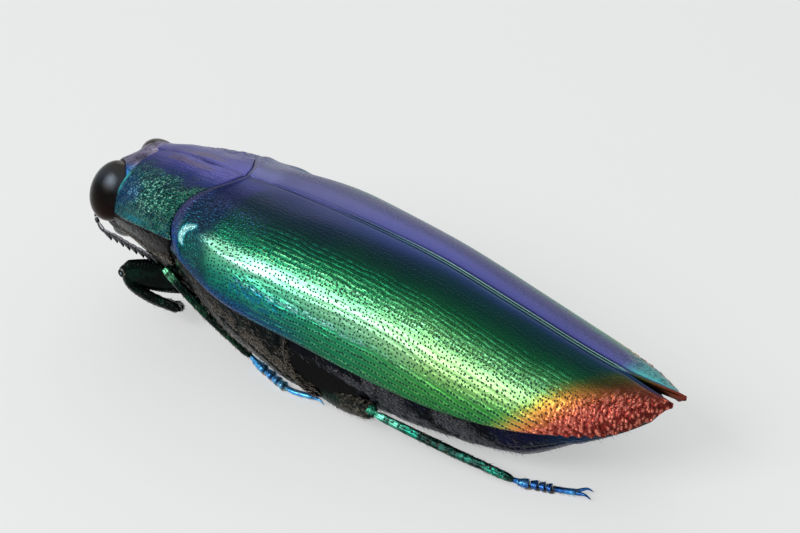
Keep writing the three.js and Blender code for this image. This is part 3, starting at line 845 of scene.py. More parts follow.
def ball(name, rings, around, place, marks=None, **options):  # a closed form over every direction
    polar = np.linspace(0, math.pi, rings + 2)[1:-1]
    p, a = np.meshgrid(polar, np.linspace(0, 2 * math.pi, around, endpoint=False), indexing="ij")
    ways = np.stack([np.cos(p), np.sin(p) * np.cos(a), np.sin(p) * np.sin(a)], -1).reshape(-1, 3)
    ways = np.concatenate([ways, [(1, 0, 0), (-1, 0, 0)]])
    faces = ringFaces(rings, around, len(ways) - 2, len(ways) - 1)
    points = place(ways)
    return turnOutward(makePiece(name, points, faces, marks(ways, points) if marks else None, **options))


def eyeShare(points):  # under 1 inside either eye
    folded = np.stack([points[:, 0], -np.abs(points[:, 1]), points[:, 2]], -1)
    return np.linalg.norm(((folded - eye["centre"]) @ eyeTurn) / eye["half"], axis=1)


def headSurface(ways):
    x, y, z = ways.T
    length, width, height = head["half"]
    return head["centre"] + np.stack([x * length + z * head["lean"], y * width, z * height], -1)


def headPlace(ways):
    x, y, z = ways.T
    base = headSurface(ways)
    share = eyeShare(base)
    face = step(-x, 0.1, 0.6)
    swell = -head["furrow"] * peak(y, 0, 0.2) * face * step(z, -0.55, -0.2)
    swell += head["eyeRim"] * peak(share, 1.1, 0.07) - 0.3 * step(share, 1.04, 0.95)
    crown = step(z, 0.2, 0.6) * step(share, 1.1, 1.3)
    swell += head["grain"] * grain(base[:, 0] * 4.5, base[:, 1] * 4.5, 31) * crown
    swell += 0.03 * grain(base[:, 2] * 3.0, base[:, 1] * 3.0, 32) * face
    swell -= 0.12 * peak(base[:, 2], -1.5, 0.1) * face
    for hand in (-1, 1):
        swell -= 0.2 * peak(np.linalg.norm(base - [-10.0, hand * 1.4, -0.8], axis=1), 0, 0.35)
    return base + ways * swell[:, None]


def headMarks(ways, points):
    return {"top": ways[:, 2], "beside": np.abs(ways[:, 1]), "front": -ways[:, 0],
            "eyeShare": eyeShare(points)}


def headLook():
    look = Look("head")
    top, beside, near = look.mark("top"), look.mark("beside"), look.mark("eyeShare")
    mottle = look.cloud(900.0, 4.0)
    cells = look.pores(5200.0)
    crown = top.step(0.35, 0.6) * beside.step(0.72, 0.5)
    granular = look.ramp(mottle, (0.25, "#2e2c3c"), (0.5, "#77708c"), (0.7, "#a89fb0"))
    blue = look.ramp(mottle + top * 0.2, (0.3, "#122a66"), (0.5, "#1f4a9a"), (0.75, "#2b7fb0"))
    look.shade = look.blend(crown, blue, granular)
    face = look.mark("front").step(0.3, 0.7)
    green = look.ramp(mottle, (0.3, "#0c443e"), (0.55, "#14785a"), (0.8, "#7aa84c"))
    look.paint(face * top.step(0.6, 0.2) * 0.85, green)
    # painted shade under the front of the head
    look.paint(top.step(0.1, -0.3) * look.mark("front").step(0.5, 0.1), "#14141c")
    # painted shade where the head meets the eyes
    look.paint(near.step(1.1, 1.04), "#10131c")
    # painted shade in the pits
    pit = cells.step(0.45, 0.15)
    look.paint(pit * 0.6, "#0a1424")
    height = pit * -0.05 + mottle * 0.04
    return look.done(rough=0.36 + mottle * 0.15, normal=look.relief(height), **finishes["head"])


def eyeLook():
    look = Look("eye")
    height = look.mark("height")
    cloud = look.cloud(500.0, 3.0)
    # the eye's colour and shine change with height: the lighter, shinier top is a painted highlight, the
    # dark, dull bottom painted shade
    look.shade = look.ramp(height * 0.5 + 0.5 + (cloud - 0.5) * 0.15, (0.05, "#241009"), (0.3, "#150c09"),
                      (0.5, "#1a1818"), (0.72, "#444a52"), (0.97, "#4c463f"))
    facet = look.pores(26000.0, 0.15)
    look.paint(facet.step(0.1, 0.6) * 0.25, "#0a0808")
    relief = look.relief(facet * -0.005)
    return look.done(rough=0.12 + cloud * 0.04, normal=relief, **finishes["eye"])


def makeEye(side):
    place = lambda ways: np.array(eye["centre"]) + (ways * eye["half"]) @ eyeTurn.T
    marks = lambda ways, points: {"height": ways[:, 2]}
    return ball("eye_" + side + "_ball", eye["rings"], eye["around"], place, marks, mirrored=side == "right")


headPiece = ball("head_shell", head["rings"], head["around"], headPlace, headMarks)
handIn(wear(headPiece, headLook()), "head", "head")
eyeMaterial = eyeLook()
for side in ("left", "right"):
    handIn(wear(makeEye(side), eyeMaterial), "eye", "eye_" + side)
print("head and eyes made")


# mouthparts and antennae

mouth = {"centre": (-9.1, 0, -2.3), "half": (1.0, 1.5, 1.0), "lean": 0.3}
antennae = {"path": [(-10.15, -1.45, -0.85), (-10.6, -1.8, -1.5), (-9.75, -2.1, -2.15), (-8.3, -2.45, -1.95),
                     (-6.85, -2.85, -1.75), (-4.1, -3.35, -1.45)],
            "joints": [1.5, 0.6, 1.0, 1, 1, 1, 1, 1, 0.95, 0.9, 1.0], "girth": 0.165, "tooth": 0.3}


def chitinLook(name, dark, light, glint, ridge=0.0):  # small dark glossy parts
    look = Look(name)
    cloud = look.cloud(1400.0, 4.0)
    fine = look.cloud(9000.0, 2.0)
    look.shade = look.ramp(cloud, (0.3, dark), (0.55, light), (0.78, glint))
    # a painted highlight along the upper edge of the joints
    look.paint(look.mark("rise").step(0.6, 0.92) * ridge, "#b4aeb8")
    relief = look.relief(fine * 0.012)
    return look.done(rough=0.26 + fine * 0.2, normal=relief, **finishes["small parts"])


def mouthPlace(ways):
    x, y, z = ways.T
    wide = mouth["half"][1] * (1 + 0.3 * z)
    base = mouth["centre"] + np.stack([x + z * mouth["lean"], y * wide, z * mouth["half"][2]], -1)
    front = step(-x, 0.0, 0.5)
    cleft = 0.3 * peak(y, 0, 0.1) * step(-z, -0.1, 0.3) * front
    lip = 0.12 * peak(z, 0.1, 0.08) * front
    return base - ways * (cleft + lip)[:, None]


def antennaJoint(start, end, number, side):
    a = antennae
    at = curveOf(a["path"])
    toothed = min(max(number - 2, 0), 1) * (1.0 if number < 10 else 0.6)

    def place(t, angle, r):
        share = start + (end - start) * t
        centre = at(share)
        _, across, up = frameAlong(at, share)
        waist = 0.62 + 0.38 * np.sqrt(np.abs(np.sin(math.pi * np.clip(t, 0.08, 0.92))))
        lower = a["girth"] * waist + a["tooth"] * toothed * t ** 1.6
        upper = a["girth"] * waist * 1.1
        rise = np.where(np.sin(angle) > 0, upper, lower)
        return (centre + across * (np.cos(angle) * r * a["girth"] * 0.8 * waist)[:, None]
                + up * (np.sin(angle) * r * rise)[:, None])

    marks = lambda t, angle, r: {"rise": np.sin(angle) * r * (number > 1)}
    return loft("joint", 8, 14, place, marks, mirrored=side == "right")


def makeAntenna(side):
    shares = np.cumsum([0] + antennae["joints"]) / sum(antennae["joints"])
    joints = [antennaJoint(shares[i], shares[i + 1] - 0.008, i, side) for i in range(len(shares) - 1)]
    return turnOutward(joinAs("antenna_" + side + "_joints", joints))


blackLook = chitinLook("antenna", "#06070a", "#12151b", "#2a3340", ridge=0.9)
mouthLook = chitinLook("mouthparts", "#0b0c0e", "#1b2328", "#2f5a4c")
handIn(wear(ball("mouth", 60, 80, mouthPlace), mouthLook), "head", "mouthparts")
for side in ("left", "right"):
    handIn(wear(makeAntenna(side), blackLook), "antenna", "antenna_" + side)
print("antennae made")


# underside of the prothorax, thorax and abdomen

body = {"underside": 0.64, "gap": 0.14, "hollow": 1.7, "ventrites": [0.0, 0.235, 0.457, 0.64, 0.815, 1.0],
        "ventriteStep": 0.1, "bandHeight": 0.13, "lip": 0.14}


def trunkPoint(station, angle, r, inset):
    edge = edgeHeight(station) - 0.1
    width = halfWidth(station) - body["underside"] - inset
    side, cosine = np.sin(angle), np.cos(angle)
    upper = cosine >= 0
    exponent = 2 / np.where(upper, archRoundness(station), bellyRoundness(station))
    height = np.where(upper, sutureHeight(station) - body["underside"] - inset - edge,
                      bellyDepth(station) + edge - inset)
    y = signedPower(side, exponent) * width * r
    z = edge + signedPower(cosine, exponent) * np.maximum(height, 0.1) * r
    return np.stack([station - sweep(station, np.abs(y) / halfWidth(station)), y, z], -1)


def backward(t, drop):  # the way that the down lies
    return np.stack([np.ones_like(t), np.zeros_like(t), np.full_like(t, -drop)], -1)


def onMap(along, around):  # a place on the unwrap of the skin's shape
    return np.stack([along, around, along * 0], -1)


def flank(angle):
    return step(-np.cos(angle), 0, 0.75)


def coxaEdge(angle, r):
    return mix(9.3, mix(7.4, 9.7, flank(angle)), r)


def bandLine(station):  # height of the downy band along the thorax's side
    return -0.15 - 0.43 * station


def bellyLine(station):  # height of the downy line along the abdomen's side
    return -1.5 - 0.21 * (station - 8.5)


def sidePlace(angle):  # roughly how far down the flank, 0 at the wing cases' edge to 1 at the belly's middle
    folded = math.pi - np.abs(np.mod(angle, 2 * math.pi) - math.pi)
    return folded / math.pi


def thoraxPlace(t, angle, r):
    station = mix(body["gap"], coxaEdge(angle, r), t)
    inset = 0.1 * (1 - t) ** 4
    z = trunkPoint(station, angle, r, inset)[:, 2]
    low = step(sidePlace(angle), 0.48, 0.52)
    off = z - bandLine(station)
    swell = body["bandHeight"] * peak(off, 0, 0.16) * step(station, 1.5, 3.0) * low
    swell -= 0.08 * peak(off, -0.45, 0.14) * step(station, 1.5, 3.0) * low
    swell += body["lip"] * peak(t, 1.0, 0.012) * low - 0.07 * peak(t, 0.94, 0.02) * low
    swell -= 0.12 * peak(sidePlace(angle), 1, 0.02)
    swell -= 0.06 * peak(station, 3.1, 0.09) * low * step(off, -0.2, -0.5)
    swell -= 0.08 * peak(station - coxaEdge(angle, r), -2.0, 0.09) * step(off, -0.2, -0.6)
    arc = sidePlace(angle) * 18
    swell += 0.02 * grain(station * 5, arc * 5, 41) * low
    return trunkPoint(station, angle, r, inset - swell)


def thoraxMarks(t, angle, r):
    station = mix(body["gap"], coxaEdge(angle, r), t)
    z = trunkPoint(station, angle, r, 0)[:, 2]
    low = step(sidePlace(angle), 0.49, 0.53) * step(r, 0.9, 0.99)
    off = z - bandLine(station)
    patch = 0.55 + 0.45 * grain(station * 2.2, sidePlace(angle) * 30, 42)
    down = 1.2 * peak(off, 0.12, 0.36) * step(station, 1.2, 2.6)
    down = np.maximum(down, peak(t, 0.985, 0.035) * step(sidePlace(angle), 0.9, 0.8))
    down = np.maximum(down, 0.25 * step(off, 0.1, 0.4))
    down = np.maximum(down, 0.1 * step(off, 0.0, -0.3))
    return {"station": station, "side": sidePlace(angle), "down": down * patch * low,
            "end": 1 - r + (t > 0.999), "lie": backward(t, 0.35),
            "place": onMap(t * 0.3, angle / (2 * math.pi))}


def ventrite(t):  # which ring, and how far along it
    ends = np.array(body["ventrites"])
    ring = np.clip(np.searchsorted(ends, t, side="left") - 1, 0, len(ends) - 2)
    return ring, np.clip((t - ends[ring]) / (ends[ring + 1] - ends[ring]), 0, 1)


def abdomenStation(t, angle, r):
    hollow = body["hollow"] * r * flank(angle) * np.abs(np.sin(angle)) ** 0.7
    return mix(coxaEdge(angle, r) + body["gap"] + hollow, trunk["length"] - 0.9, t)


def abdomenPlace(t, angle, r):
    station = abdomenStation(t, angle, r)
    ring, share = ventrite(t)
    inset = body["ventriteStep"] * share + np.where(t > 0.99, 0.2 * (t - 0.99) / 0.01, 0)
    low = step(sidePlace(angle), 0.49, 0.53)
    z = trunkPoint(station, angle, r, inset)[:, 2]
    edge = peak(z, bellyLine(station), 0.13) * step(station, 14.5, 13.0)
    swell = 0.1 * edge * low + 0.05 * peak(share, 0.97, 0.03) * low * (ring < 4)
    arc = sidePlace(angle) * 16
    swell += 0.015 * grain(station * 4, arc * 4, 51) * low
    swell -= 0.08 * peak(sidePlace(angle), 0.62, 0.012) * (ring > 0) * step(share, 0.0, 0.2) * 0.5
    return trunkPoint(station, angle, r, inset - swell)


def abdomenMarks(t, angle, r):
    station = abdomenStation(t, angle, r)
    ring, share = ventrite(t)
    z = trunkPoint(station, angle, r, 0)[:, 2]
    side = sidePlace(angle)
    low = step(side, 0.49, 0.52) * step(r, 0.9, 0.99)
    patch = 0.6 + 0.4 * grain(station * 2.5, side * 24, 52)
    slant = share - (side - 0.5) * 2.2
    down = step(slant, -0.25, 0.0) * step(slant, 0.75, 0.3) * step(side, 0.74, 0.66) * (1 - 0.8 * (ring > 2))
    band = bellyLine(station)
    edge = peak(z - band, 0.05, 0.17) * step(station, 15, 13.5)
    # the hollow in front of the hind femur, painted black as shade through the end mark
    hollow = step(z, band - 0.25, band - 0.5) * step(station, 12.6, 11.8) * step(side, 0.97, 0.9)
    down = np.maximum(down * (ring > 0), edge)
    down = np.maximum(down, 0.12 * (ring < 3))
    return {"station": station, "side": side, "down": down * patch * low * (1 - hollow),
            "end": np.maximum(1 - r, hollow * 0.1), "lie": backward(t, 0.5),
            "place": onMap(0.32 + t * 0.4, angle / (2 * math.pi))}


def sternumMarks(t, angle, r):
    side = sidePlace(angle)
    line = peak(side, 0.605, 0.022) * step(t, 0.02, 0.2)
    patch = 0.6 + 0.4 * grain(t * 14, side * 30, 61)
    return {"station": t * 7, "side": side, "down": 0.7 * line * patch * step(r, 0.9, 0.99),
            "end": 1 - r, "lie": backward(t, 0.3),
            "place": onMap(0.75 + t * 0.2, angle / (2 * math.pi))}


def sternumRelief(t, angle):
    side = sidePlace(angle)
    ridge = 0.09 * peak(side, 0.605, 0.014) - 0.08 * peak(side, 0.64, 0.02)
    return ridge * step(t, 0.02, 0.2) + 0.02 * grain(t * 30, side * 60, 62)


def bodyLook(name, base, low, glint, down, tints=()):
    look = Look(name)
    s, side = look.mark("station"), look.mark("side")
    fur = look.mark("down")
    cloud = look.noise(look.at(s * 0.9, side * 14.0), 4.0)
    hair = look.noise(look.at(s * 7.0 - side * 30, side * 230.0), 3.0)
    pits = look.cells(look.at(s * 4.0, side * 60.0), 0.95)
    look.shade = look.ramp(cloud, (0.3, base), (0.55, low), (0.8, glint))
    for place, width, tint in tints:
        spot = (s - place).step(-width, 0.0) * (s - place).step(width, 0.0)
        look.paint(spot * cloud.step(0.2, 0.6), tint)
    # painted shade in the pits
    look.paint(pits.step(0.3, 0.1) * 0.5, "#07080b")
    furry = (fur * 1.3 + (hair - 0.5) * 1.1 * fur.step(0.02, 0.3)).step(0.15, 0.75)
    coat = look.ramp(hair, (0.38, "#141210"), (0.54, down), (0.68, "#8e867c"))
    look.paint(furry * 0.7, coat)
    # painted shade: black at the ends of the shells, where they meet the next piece, and in the hollow
    # before the hind femur
    endShade = look.mark("end").step(0.0, 0.06)
    look.paint(endShade, "#040404")
    height = hair * furry * 0.05 + pits.step(0.3, 0.1) * -0.04 + cloud * 0.03
    rough = furry * 0.4 + 0.28 + endShade * 0.6
    metal = furry.step(1.0, 0.0) * endShade.step(0.5, 0.0) * 0.85
    return look.done(rough=rough, metal=metal, normal=look.relief(height), specular=0.15)


sternum = loft("prosternum_shell", 90, 240, collarPlace(False, sternumRelief), sternumMarks, cap=5)
sternum = wear(turnOutward(sternum), bodyLook("prosternum", "#050404", "#0a0808", "#0e1a16", "#40372e"))
handIn(sternum, "downy", "prosternum")
thorax = loft("thorax_shell", 150, 300, thoraxPlace, thoraxMarks, cap=6)
thorax = wear(turnOutward(thorax), bodyLook("thorax", "#060909", "#0a1011", "#0e2a21", "#443f39"))
handIn(thorax, "downy", "thorax")
abdomen = loft("abdomen_shell", 210, 260, abdomenPlace, abdomenMarks, cap=6)
tints = [(22.5, 2.4, "#131436"), (25.5, 2.2, "#0e3258")]
abdomen = wear(turnOutward(abdomen), bodyLook("abdomen", "#06080d", "#090c14", "#141d36", "#3a3f4a", tints))
handIn(abdomen, "belly", "abdomen")
print("trunk made")


# legs

def overGround(station, y, height):  # a place above the ground, below a station of the trunk
    return (float(inGround((station, y, -5.5))[0]), y, height)


def held(*places):
    return [tuple(float(c) for c in inGround(place)) for place in places]


legs = {
    "fore": {"femur": held((-2.6, -1.1, -3.75), (-4.3, -2.3, -3.35), (-6.5, -3.9, -2.95)),
             "tibia": held((-6.3, -3.9, -3.05), (-5.85, -3.75, -3.88), (-4.8, -3.25, -4.6),
                           (-2.95, -2.7, -5.0)),
             "foot": held((-3.15, -2.35, -5.2), (-3.6, -1.9, -5.5), (-4.1, -1.55, -5.72),
                          (-5.0, -1.35, -5.95)),
             "femurHalf": (1.12, 0.55), "tibiaHalf": (0.4, 0.34), "rightTuck": 0.0},
    "mid": {"femur": held((3.0, -1.5, -4.3), (0.6, -2.9, -2.9), (-2.3, -4.3, -0.6)),
            "tibia": held((-2.4, -4.75, -0.7), (0.3, -4.4, -2.68), (3.5, -3.6, -5.12)),
            "foot": held((3.8, -3.5, -5.45)) + [overGround(5.2, -3.8, 0.3), overGround(7.2, -4.4, 0.22),
                                                overGround(9.0, -4.2, 0.24)],
            "femurHalf": (0.6, 0.5), "tibiaHalf": (0.33, 0.33), "rightTuck": 0.0},
    "hind": {"femur": held((6.4, -3.2, -3.0), (8.2, -4.2, -3.5), (10.4, -4.45, -4.15), (13.6, -5.1, -3.68)),
             "tibia": held((13.75, -5.15, -3.65), (18.0, -5.0, -3.85), (22.9, -4.8, -3.95)),
             "foot": held((23.2, -4.75, -4.0)) + [overGround(24.1, -4.4, 0.26),
                                                  overGround(25.4, -4.0, 0.22),
                                                  overGround(26.6, -3.6, 0.24)],
             "femurHalf": (0.84, 0.47), "tibiaHalf": (0.31, 0.31), "rightTuck": 2.0},
}
foot = {"joints": [0.0, 0.2, 0.34, 0.46, 0.57, 1.0], "wide": 0.36, "deep": 0.28, "pad": 0.3, "claw": 0.75}


def onLeg(side):
    return {"mirrored": side == "right", "ground": True}


def unit(way):
    return way / np.linalg.norm(way)


def tuckedPath(path, amount, rooted):
    last = len(path) - 1
    return [(x - amount * (i / last if rooted else 1), y, z) for i, (x, y, z) in enumerate(path)]


def swelling(half, slender):
    def at(t):
        rounded = np.sqrt(np.minimum(1, np.minimum(t, 1 - t) / 0.08 + 0.4))
        return half * rounded * mix(slender, 1, np.sin(math.pi * t))
    return at


def legMarks(tile, furStart, furEnd, amount, lie):
    def marks(t, angle, r):
        return {"along": t, "down": step(t, furStart, furEnd) * amount * step(r, 0.9, 0.99),
                "lie": np.broadcast_to(np.array(lie, float), (len(t), 3)), "pale": t * 0,
                "place": onMap(tile[0] + t * 0.14, tile[1] + angle / (2 * math.pi) * 0.14)}
    return marks


def striae(t, angle):
    return 0.012 * np.cos(t * 150 + 1.5 * np.sin(angle * 2)) * step(t, 0.1, 0.3) * step(t, 0.9, 0.8)


def ridged(t, angle):
    return 0.02 * np.cos(angle * 4) + 0.02 * grain(t * 40, angle * 5, 71)


def makeFemur(pair, side, path, tile):
    pose = legs[pair]
    tall, thick = pose["femurHalf"]
    fur = (0.55, 0.72, 0.5) if pair == "hind" else (0.4, 0.8, 0.0)
    place = limbPlace(path, swelling(thick, 0.75), swelling(tall, 0.6), striae)
    lie = unit(np.array(path[-1]) - np.array(path[0]))
    marks = legMarks(tile, *fur, lie)
    thigh = loft("thigh", 70, 60, place, marks, cap=4, **onLeg(side))
    knee = np.array(path[-1]) - 0.18 * lie
    size = np.array([0.36, 0.5 if pair == "fore" else 0.36, 0.42])

    def kneePlace(ways):
        beside = np.abs(ways[:, 1])
        ring = 0.05 * peak(beside, 0.83, 0.07) - 0.07 * peak(beside, 0.93, 0.04)
        return knee + ways * (size + ring[:, None])

    ringed = 1.0 if pair == "fore" else 0.0
    kneeMarks = lambda ways, points: {"along": ways[:, 0] * 0 + 0.5, "ring": np.abs(ways[:, 1]) * ringed,
                                      "knee": step(ways[:, 2], -0.2, 0.5) * (pair == "hind")}
    cap = ball("knee", 36, 44, kneePlace, kneeMarks, **onLeg(side))
    return turnOutward(joinAs(pair + "_" + side + "_thigh", [thigh, cap]))


def makeTibia(pair, side, path, tile):
    tall, thick = legs[pair]["tibiaHalf"]
    place = limbPlace(path, swelling(thick * 0.95, 0.85), swelling(tall * 0.95, 0.85), ridged)
    lie = unit(np.array(path[-1]) - np.array(path[0]))
    marks = legMarks(tile, 0.1, 0.4, 0.12 if pair == "fore" else 0.3, lie)
    shank = loft("shank", 90, 48, place, marks, cap=4, **onLeg(side))
    end = np.array(path[-1])
    spurs = []
    for hand in (-1, 1):
        tip = end + lie * 0.2 + np.array([0, hand * 0.08, -0.06])
        knots = [end - lie * 0.1, (end + tip) / 2 + np.array([0, hand * 0.03, 0]), tip]
        taper = lambda t: 0.06 * (1 - t) + 0.01
        spine = limbPlace(knots, taper, taper)
        spurs.append(loft("spur", 6, 8, spine, legMarks(tile, 2, 3, 0, lie), **onLeg(side)))
    return turnOutward(joinAs(pair + "_" + side + "_shank", [shank] + spurs))


def footJoint(at, start, end, number, side, tile):
    last = number == 4

    def place(t, angle, r):
        share = start + (end - start) * t
        _, across, up = frameAlong(at, share)
        flare = 0.62 * (0.85 + 0.15 * t) if last else 0.64 + 0.36 * t ** 0.9
        flare = flare * np.sqrt(np.clip(1.2 - t ** 8, 0, 1))
        return (at(share) + across * (np.cos(angle) * r * foot["wide"] * flare)[:, None]
                + up * (np.sin(angle) * r * foot["deep"] * flare)[:, None])

    def flat(t, angle, r):
        points = place(t, angle, r)
        points[:, 2] = np.maximum(points[:, 2], 0.0)
        return points

    return loft("joint", 12, 22, flat, legMarks(tile, 0.0, 0.3, 0.3, (1, 0, 0)), **onLeg(side))


def footPad(at, share, side):
    centre = at(np.array([share]))[0]
    forward, across, up = (v[0] for v in frameAlong(at, np.array([share])))
    half = np.array([foot["pad"], 0.24, 0.06])

    def place(ways):
        x, y, z = (ways * half).T
        droop = -0.22 - 0.25 * x
        points = centre + np.outer(x, forward) + np.outer(y, across) + np.outer(z + droop, up)
        points[:, 2] = np.maximum(points[:, 2], 0.0)
        return points

    marks = lambda ways, points: {"along": ways[:, 0], "down": ways[:, 0] * 0, "pale": ways[:, 0] * 0 + 1}
    return ball("pad", 10, 16, place, marks, **onLeg(side))


def makeFoot(pair, side, path, ankle, tile):
    at = curveOf(path)
    shares = foot["joints"]
    pieces = [footJoint(at, shares[i], shares[i + 1] - 0.012, i, side, tile) for i in range(5)]
    pieces += [footPad(at, shares[i + 1] - 0.03, side) for i in range(4)]
    tip = np.array(path[-1])
    way = unit(tip - np.array(path[-2]))
    aside = np.array([-way[1], way[0], 0])
    begin = at(np.array([0.06]))[0]
    knots = [ankle, (np.array(ankle) + begin) / 2, begin]
    neck = limbPlace(knots, lambda t: 0.15 + t * 0.05, lambda t: 0.14 + t * 0.05)
    pieces.append(loft("neck", 8, 14, neck, legMarks(tile, 2, 3, 0, way), **onLeg(side)))
    reach = foot["claw"] * (0.35 if pair == "fore" else 1.0)
    for hand in (-1, 1):
        knots = [tip - way * 0.2 + aside * hand * 0.08,
                 tip + way * reach * 0.5 + aside * hand * reach * 0.4 + [0, 0, reach * 0.16],
                 tip + way * reach * 0.95 + aside * hand * reach * 0.5 + [0, 0, reach * -0.1]]
        taper = lambda t: 0.12 * (1 - t) ** 0.7 + 0.015
        claw = limbPlace(knots, taper, taper)
        pieces.append(loft("claw", 12, 10, claw, legMarks(tile, 2, 3, 0, way), **onLeg(side)))
    return turnOutward(joinAs(pair + "_" + side + "_joints", pieces))


legFinishes = {
    "leg dark": {"tones": ("#040808", "#08110f", "#0b2c22"), "down": "#4a423a", "metal": 0.9, "spots": 0.5,
                 "coat": 0.05},
    # the patch colours are painted highlights by the knee
    "shin dark": {"tones": ("#040a09", "#08201a", "#10583a"), "down": "#2c2822", "metal": 0.9, "spots": 0.5,
                  "coat": 0.1, "patch": "#7cdca4", "kneeHighlightReach": 0.065},
    "shin green": {"tones": ("#031210", "#08332c", "#1c947a"), "down": "#3a4438", "metal": 0.9, "spots": 1.0,
                   "coat": 0.1, "patch": "#6cd4b4", "kneeHighlightReach": 0.11},
    "foot": {"tones": ("#1a64b8", "#4cb0f4", "#a0e8ff"), "down": "#8d8474", "metal": 0.85, "spots": 0.2,
             "coat": 0.3, "gaps": 0.75},
    "hind foot": {"tones": ("#0c2a60", "#2368b4", "#5cb4ec"), "down": "#8d8474", "metal": 0.85, "spots": 0.2,
                  "coat": 0.3, "gaps": 0.8},
}


def legLook(name):
    finish = legFinishes[name]
    look = Look(name)
    dark, middle, glint = finish["tones"]
    spots, reach = finish["spots"], finish.get("kneeHighlightReach")
    along, pale, fur, ring, knee = (look.mark(mark) for mark in ("along", "pale", "down", "ring", "knee"))
    cloud = look.cloud(700.0, 4.0)
    fine = look.cloud(5200.0, 3.0)
    pits = look.pores(4200.0)
    pit = pits.step(0.4, 0.12)
    look.shade = look.ramp(cloud + (fine - 0.5) * 0.4, (0.28, dark), (0.5, middle), (0.72, glint))
    look.paint(knee * 0.9, look.ramp(cloud, (0.3, "#128a6c"), (0.7, "#74e0b8")))
    if reach:  # a painted highlight by the knee, behind a dark joint
        patch = (along + (fine - 0.5) * 0.1).step(reach * 2.4, reach * 0.5)
        look.paint(patch * 0.9, finish["patch"])
        band = along.step(reach * 0.5, reach * 0.75) * along.step(reach * 1.3, reach)
        look.paint(band * 0.8, "#04100e")
    joint = along.step(0.02, 0.22) * along.step(1.0, 0.8)
    look.paint((1.0 - joint) * finish.get("gaps", 0.0), "#050c1c")
    # painted shade in the pits
    look.paint(pit * 0.55 * spots, "#030708")
    furry = (fur + (fine - 0.5) * 1.3 * fur.step(0.02, 0.3)).step(0.35, 0.8)
    down = look.ramp(fine, (0.3, "#221c18"), (0.6, finish["down"]), (0.8, "#9a8d80"))
    look.paint(furry * 0.75, down)
    look.paint(pale, look.ramp(fine, (0.3, "#8f8474"), (0.7, "#cfc4b4")))
    # painted highlights on the fore knee's ring and at its middle
    look.paint(ring.step(0.64, 0.72) * ring.step(0.86, 0.8) * 0.7, "#8a8680")
    look.paint(ring.step(0.955, 0.985) * 0.8, "#8aa4ac")
    height = pit * -0.05 * spots + fine * 0.015 + furry * fine * 0.03
    dull = furry * 0.35 + pale * 0.3
    metal = (furry + pale).step(1.0, 0.2) * finish["metal"]
    return look.done(rough=dull + 0.22 + fine * 0.12, metal=metal,
                     normal=look.relief(height), coat=finish["coat"], specular=0.2)


thighLook = legLook("leg dark")
shankLooks = {"fore": thighLook, "mid": legLook("shin dark"), "hind": legLook("shin green")}
footLooks = {"fore": thighLook, "mid": legLook("foot"), "hind": legLook("hind foot")}
legPieces = {"left": [], "right": []}
for row, pair in enumerate(legs):
    for column, side in enumerate(("left", "right")):
        pull = legs[pair]["rightTuck"] if side == "right" else 0.0
        tile = (0.02 + 0.16 * row, 0.02 + 0.5 * column)
        femur = wear(makeFemur(pair, side, tuckedPath(legs[pair]["femur"], pull, True), tile), thighLook)
        shin = tuckedPath(legs[pair]["tibia"], pull, False)
        tibia = wear(makeTibia(pair, side, shin, (tile[0] + 0.5, tile[1])), shankLooks[pair])
        sole = tuckedPath(legs[pair]["foot"], pull, False)
        toes = wear(makeFoot(pair, side, sole, shin[-1], (tile[0], tile[1] + 0.2)), footLooks[pair])
        handIn(femur, "leg_dark", pair + "_" + side + "_femur")
        handIn(tibia, "leg_green", pair + "_" + side + "_tibia")
        handIn(toes, "foot", pair + "_" + side + "_foot")
        legPieces[side] += [femur, tibia, toes]
print("legs made")


# down and bristles

hairs = {  # colours at root and tip, how many to the square millimetre, sizes in millimetres
    "down": {"shades": ("#3a352f", "#a69c90"),
             "growth": {"Density": 170.0, "Length": 0.3, "Radius": 0.012, "Lift": 0.3, "Spread": 0.5,
                        "Seed": 3}},
    "belly down": {"shades": ("#2c2d33", "#85878f"),
                   "growth": {"Density": 130.0, "Length": 0.3, "Radius": 0.011, "Lift": 0.25, "Spread": 0.45,
                              "Seed": 5}},
    "bristles": {"shades": ("#2c2620", "#8a7c6a"),
                 "growth": {"Density": 55.0, "Length": 0.26, "Radius": 0.012, "Lift": 0.5, "Spread": 0.35,
                            "Seed": 8}},
}


def bentHair(graph):  # one hair of unit size, which remembers the places on itself
    cone = graph.node("GeometryNodeMeshCone", {"fill_type": "NGON"},
                      {"Vertices": 3, "Side Segments": 2, "Radius Top": 0.12, "Radius Bottom": 1.0,
                       "Depth": 1.0}, out="Mesh")
    place = graph.node("GeometryNodeInputPosition")
    cone = graph.node("GeometryNodeStoreNamedAttribute", {"data_type": "FLOAT_VECTOR", "domain": "POINT"},
                      {"Geometry": cone, "Name": "local", "Value": place})
    height = graph.node("ShaderNodeSeparateXYZ", None, {0: place}, out=2)
    bend = graph.node("ShaderNodeCombineXYZ", None, {0: height * height * -5.0})
    return graph.node("GeometryNodeSetPosition", None, {"Geometry": cone, "Offset": bend})


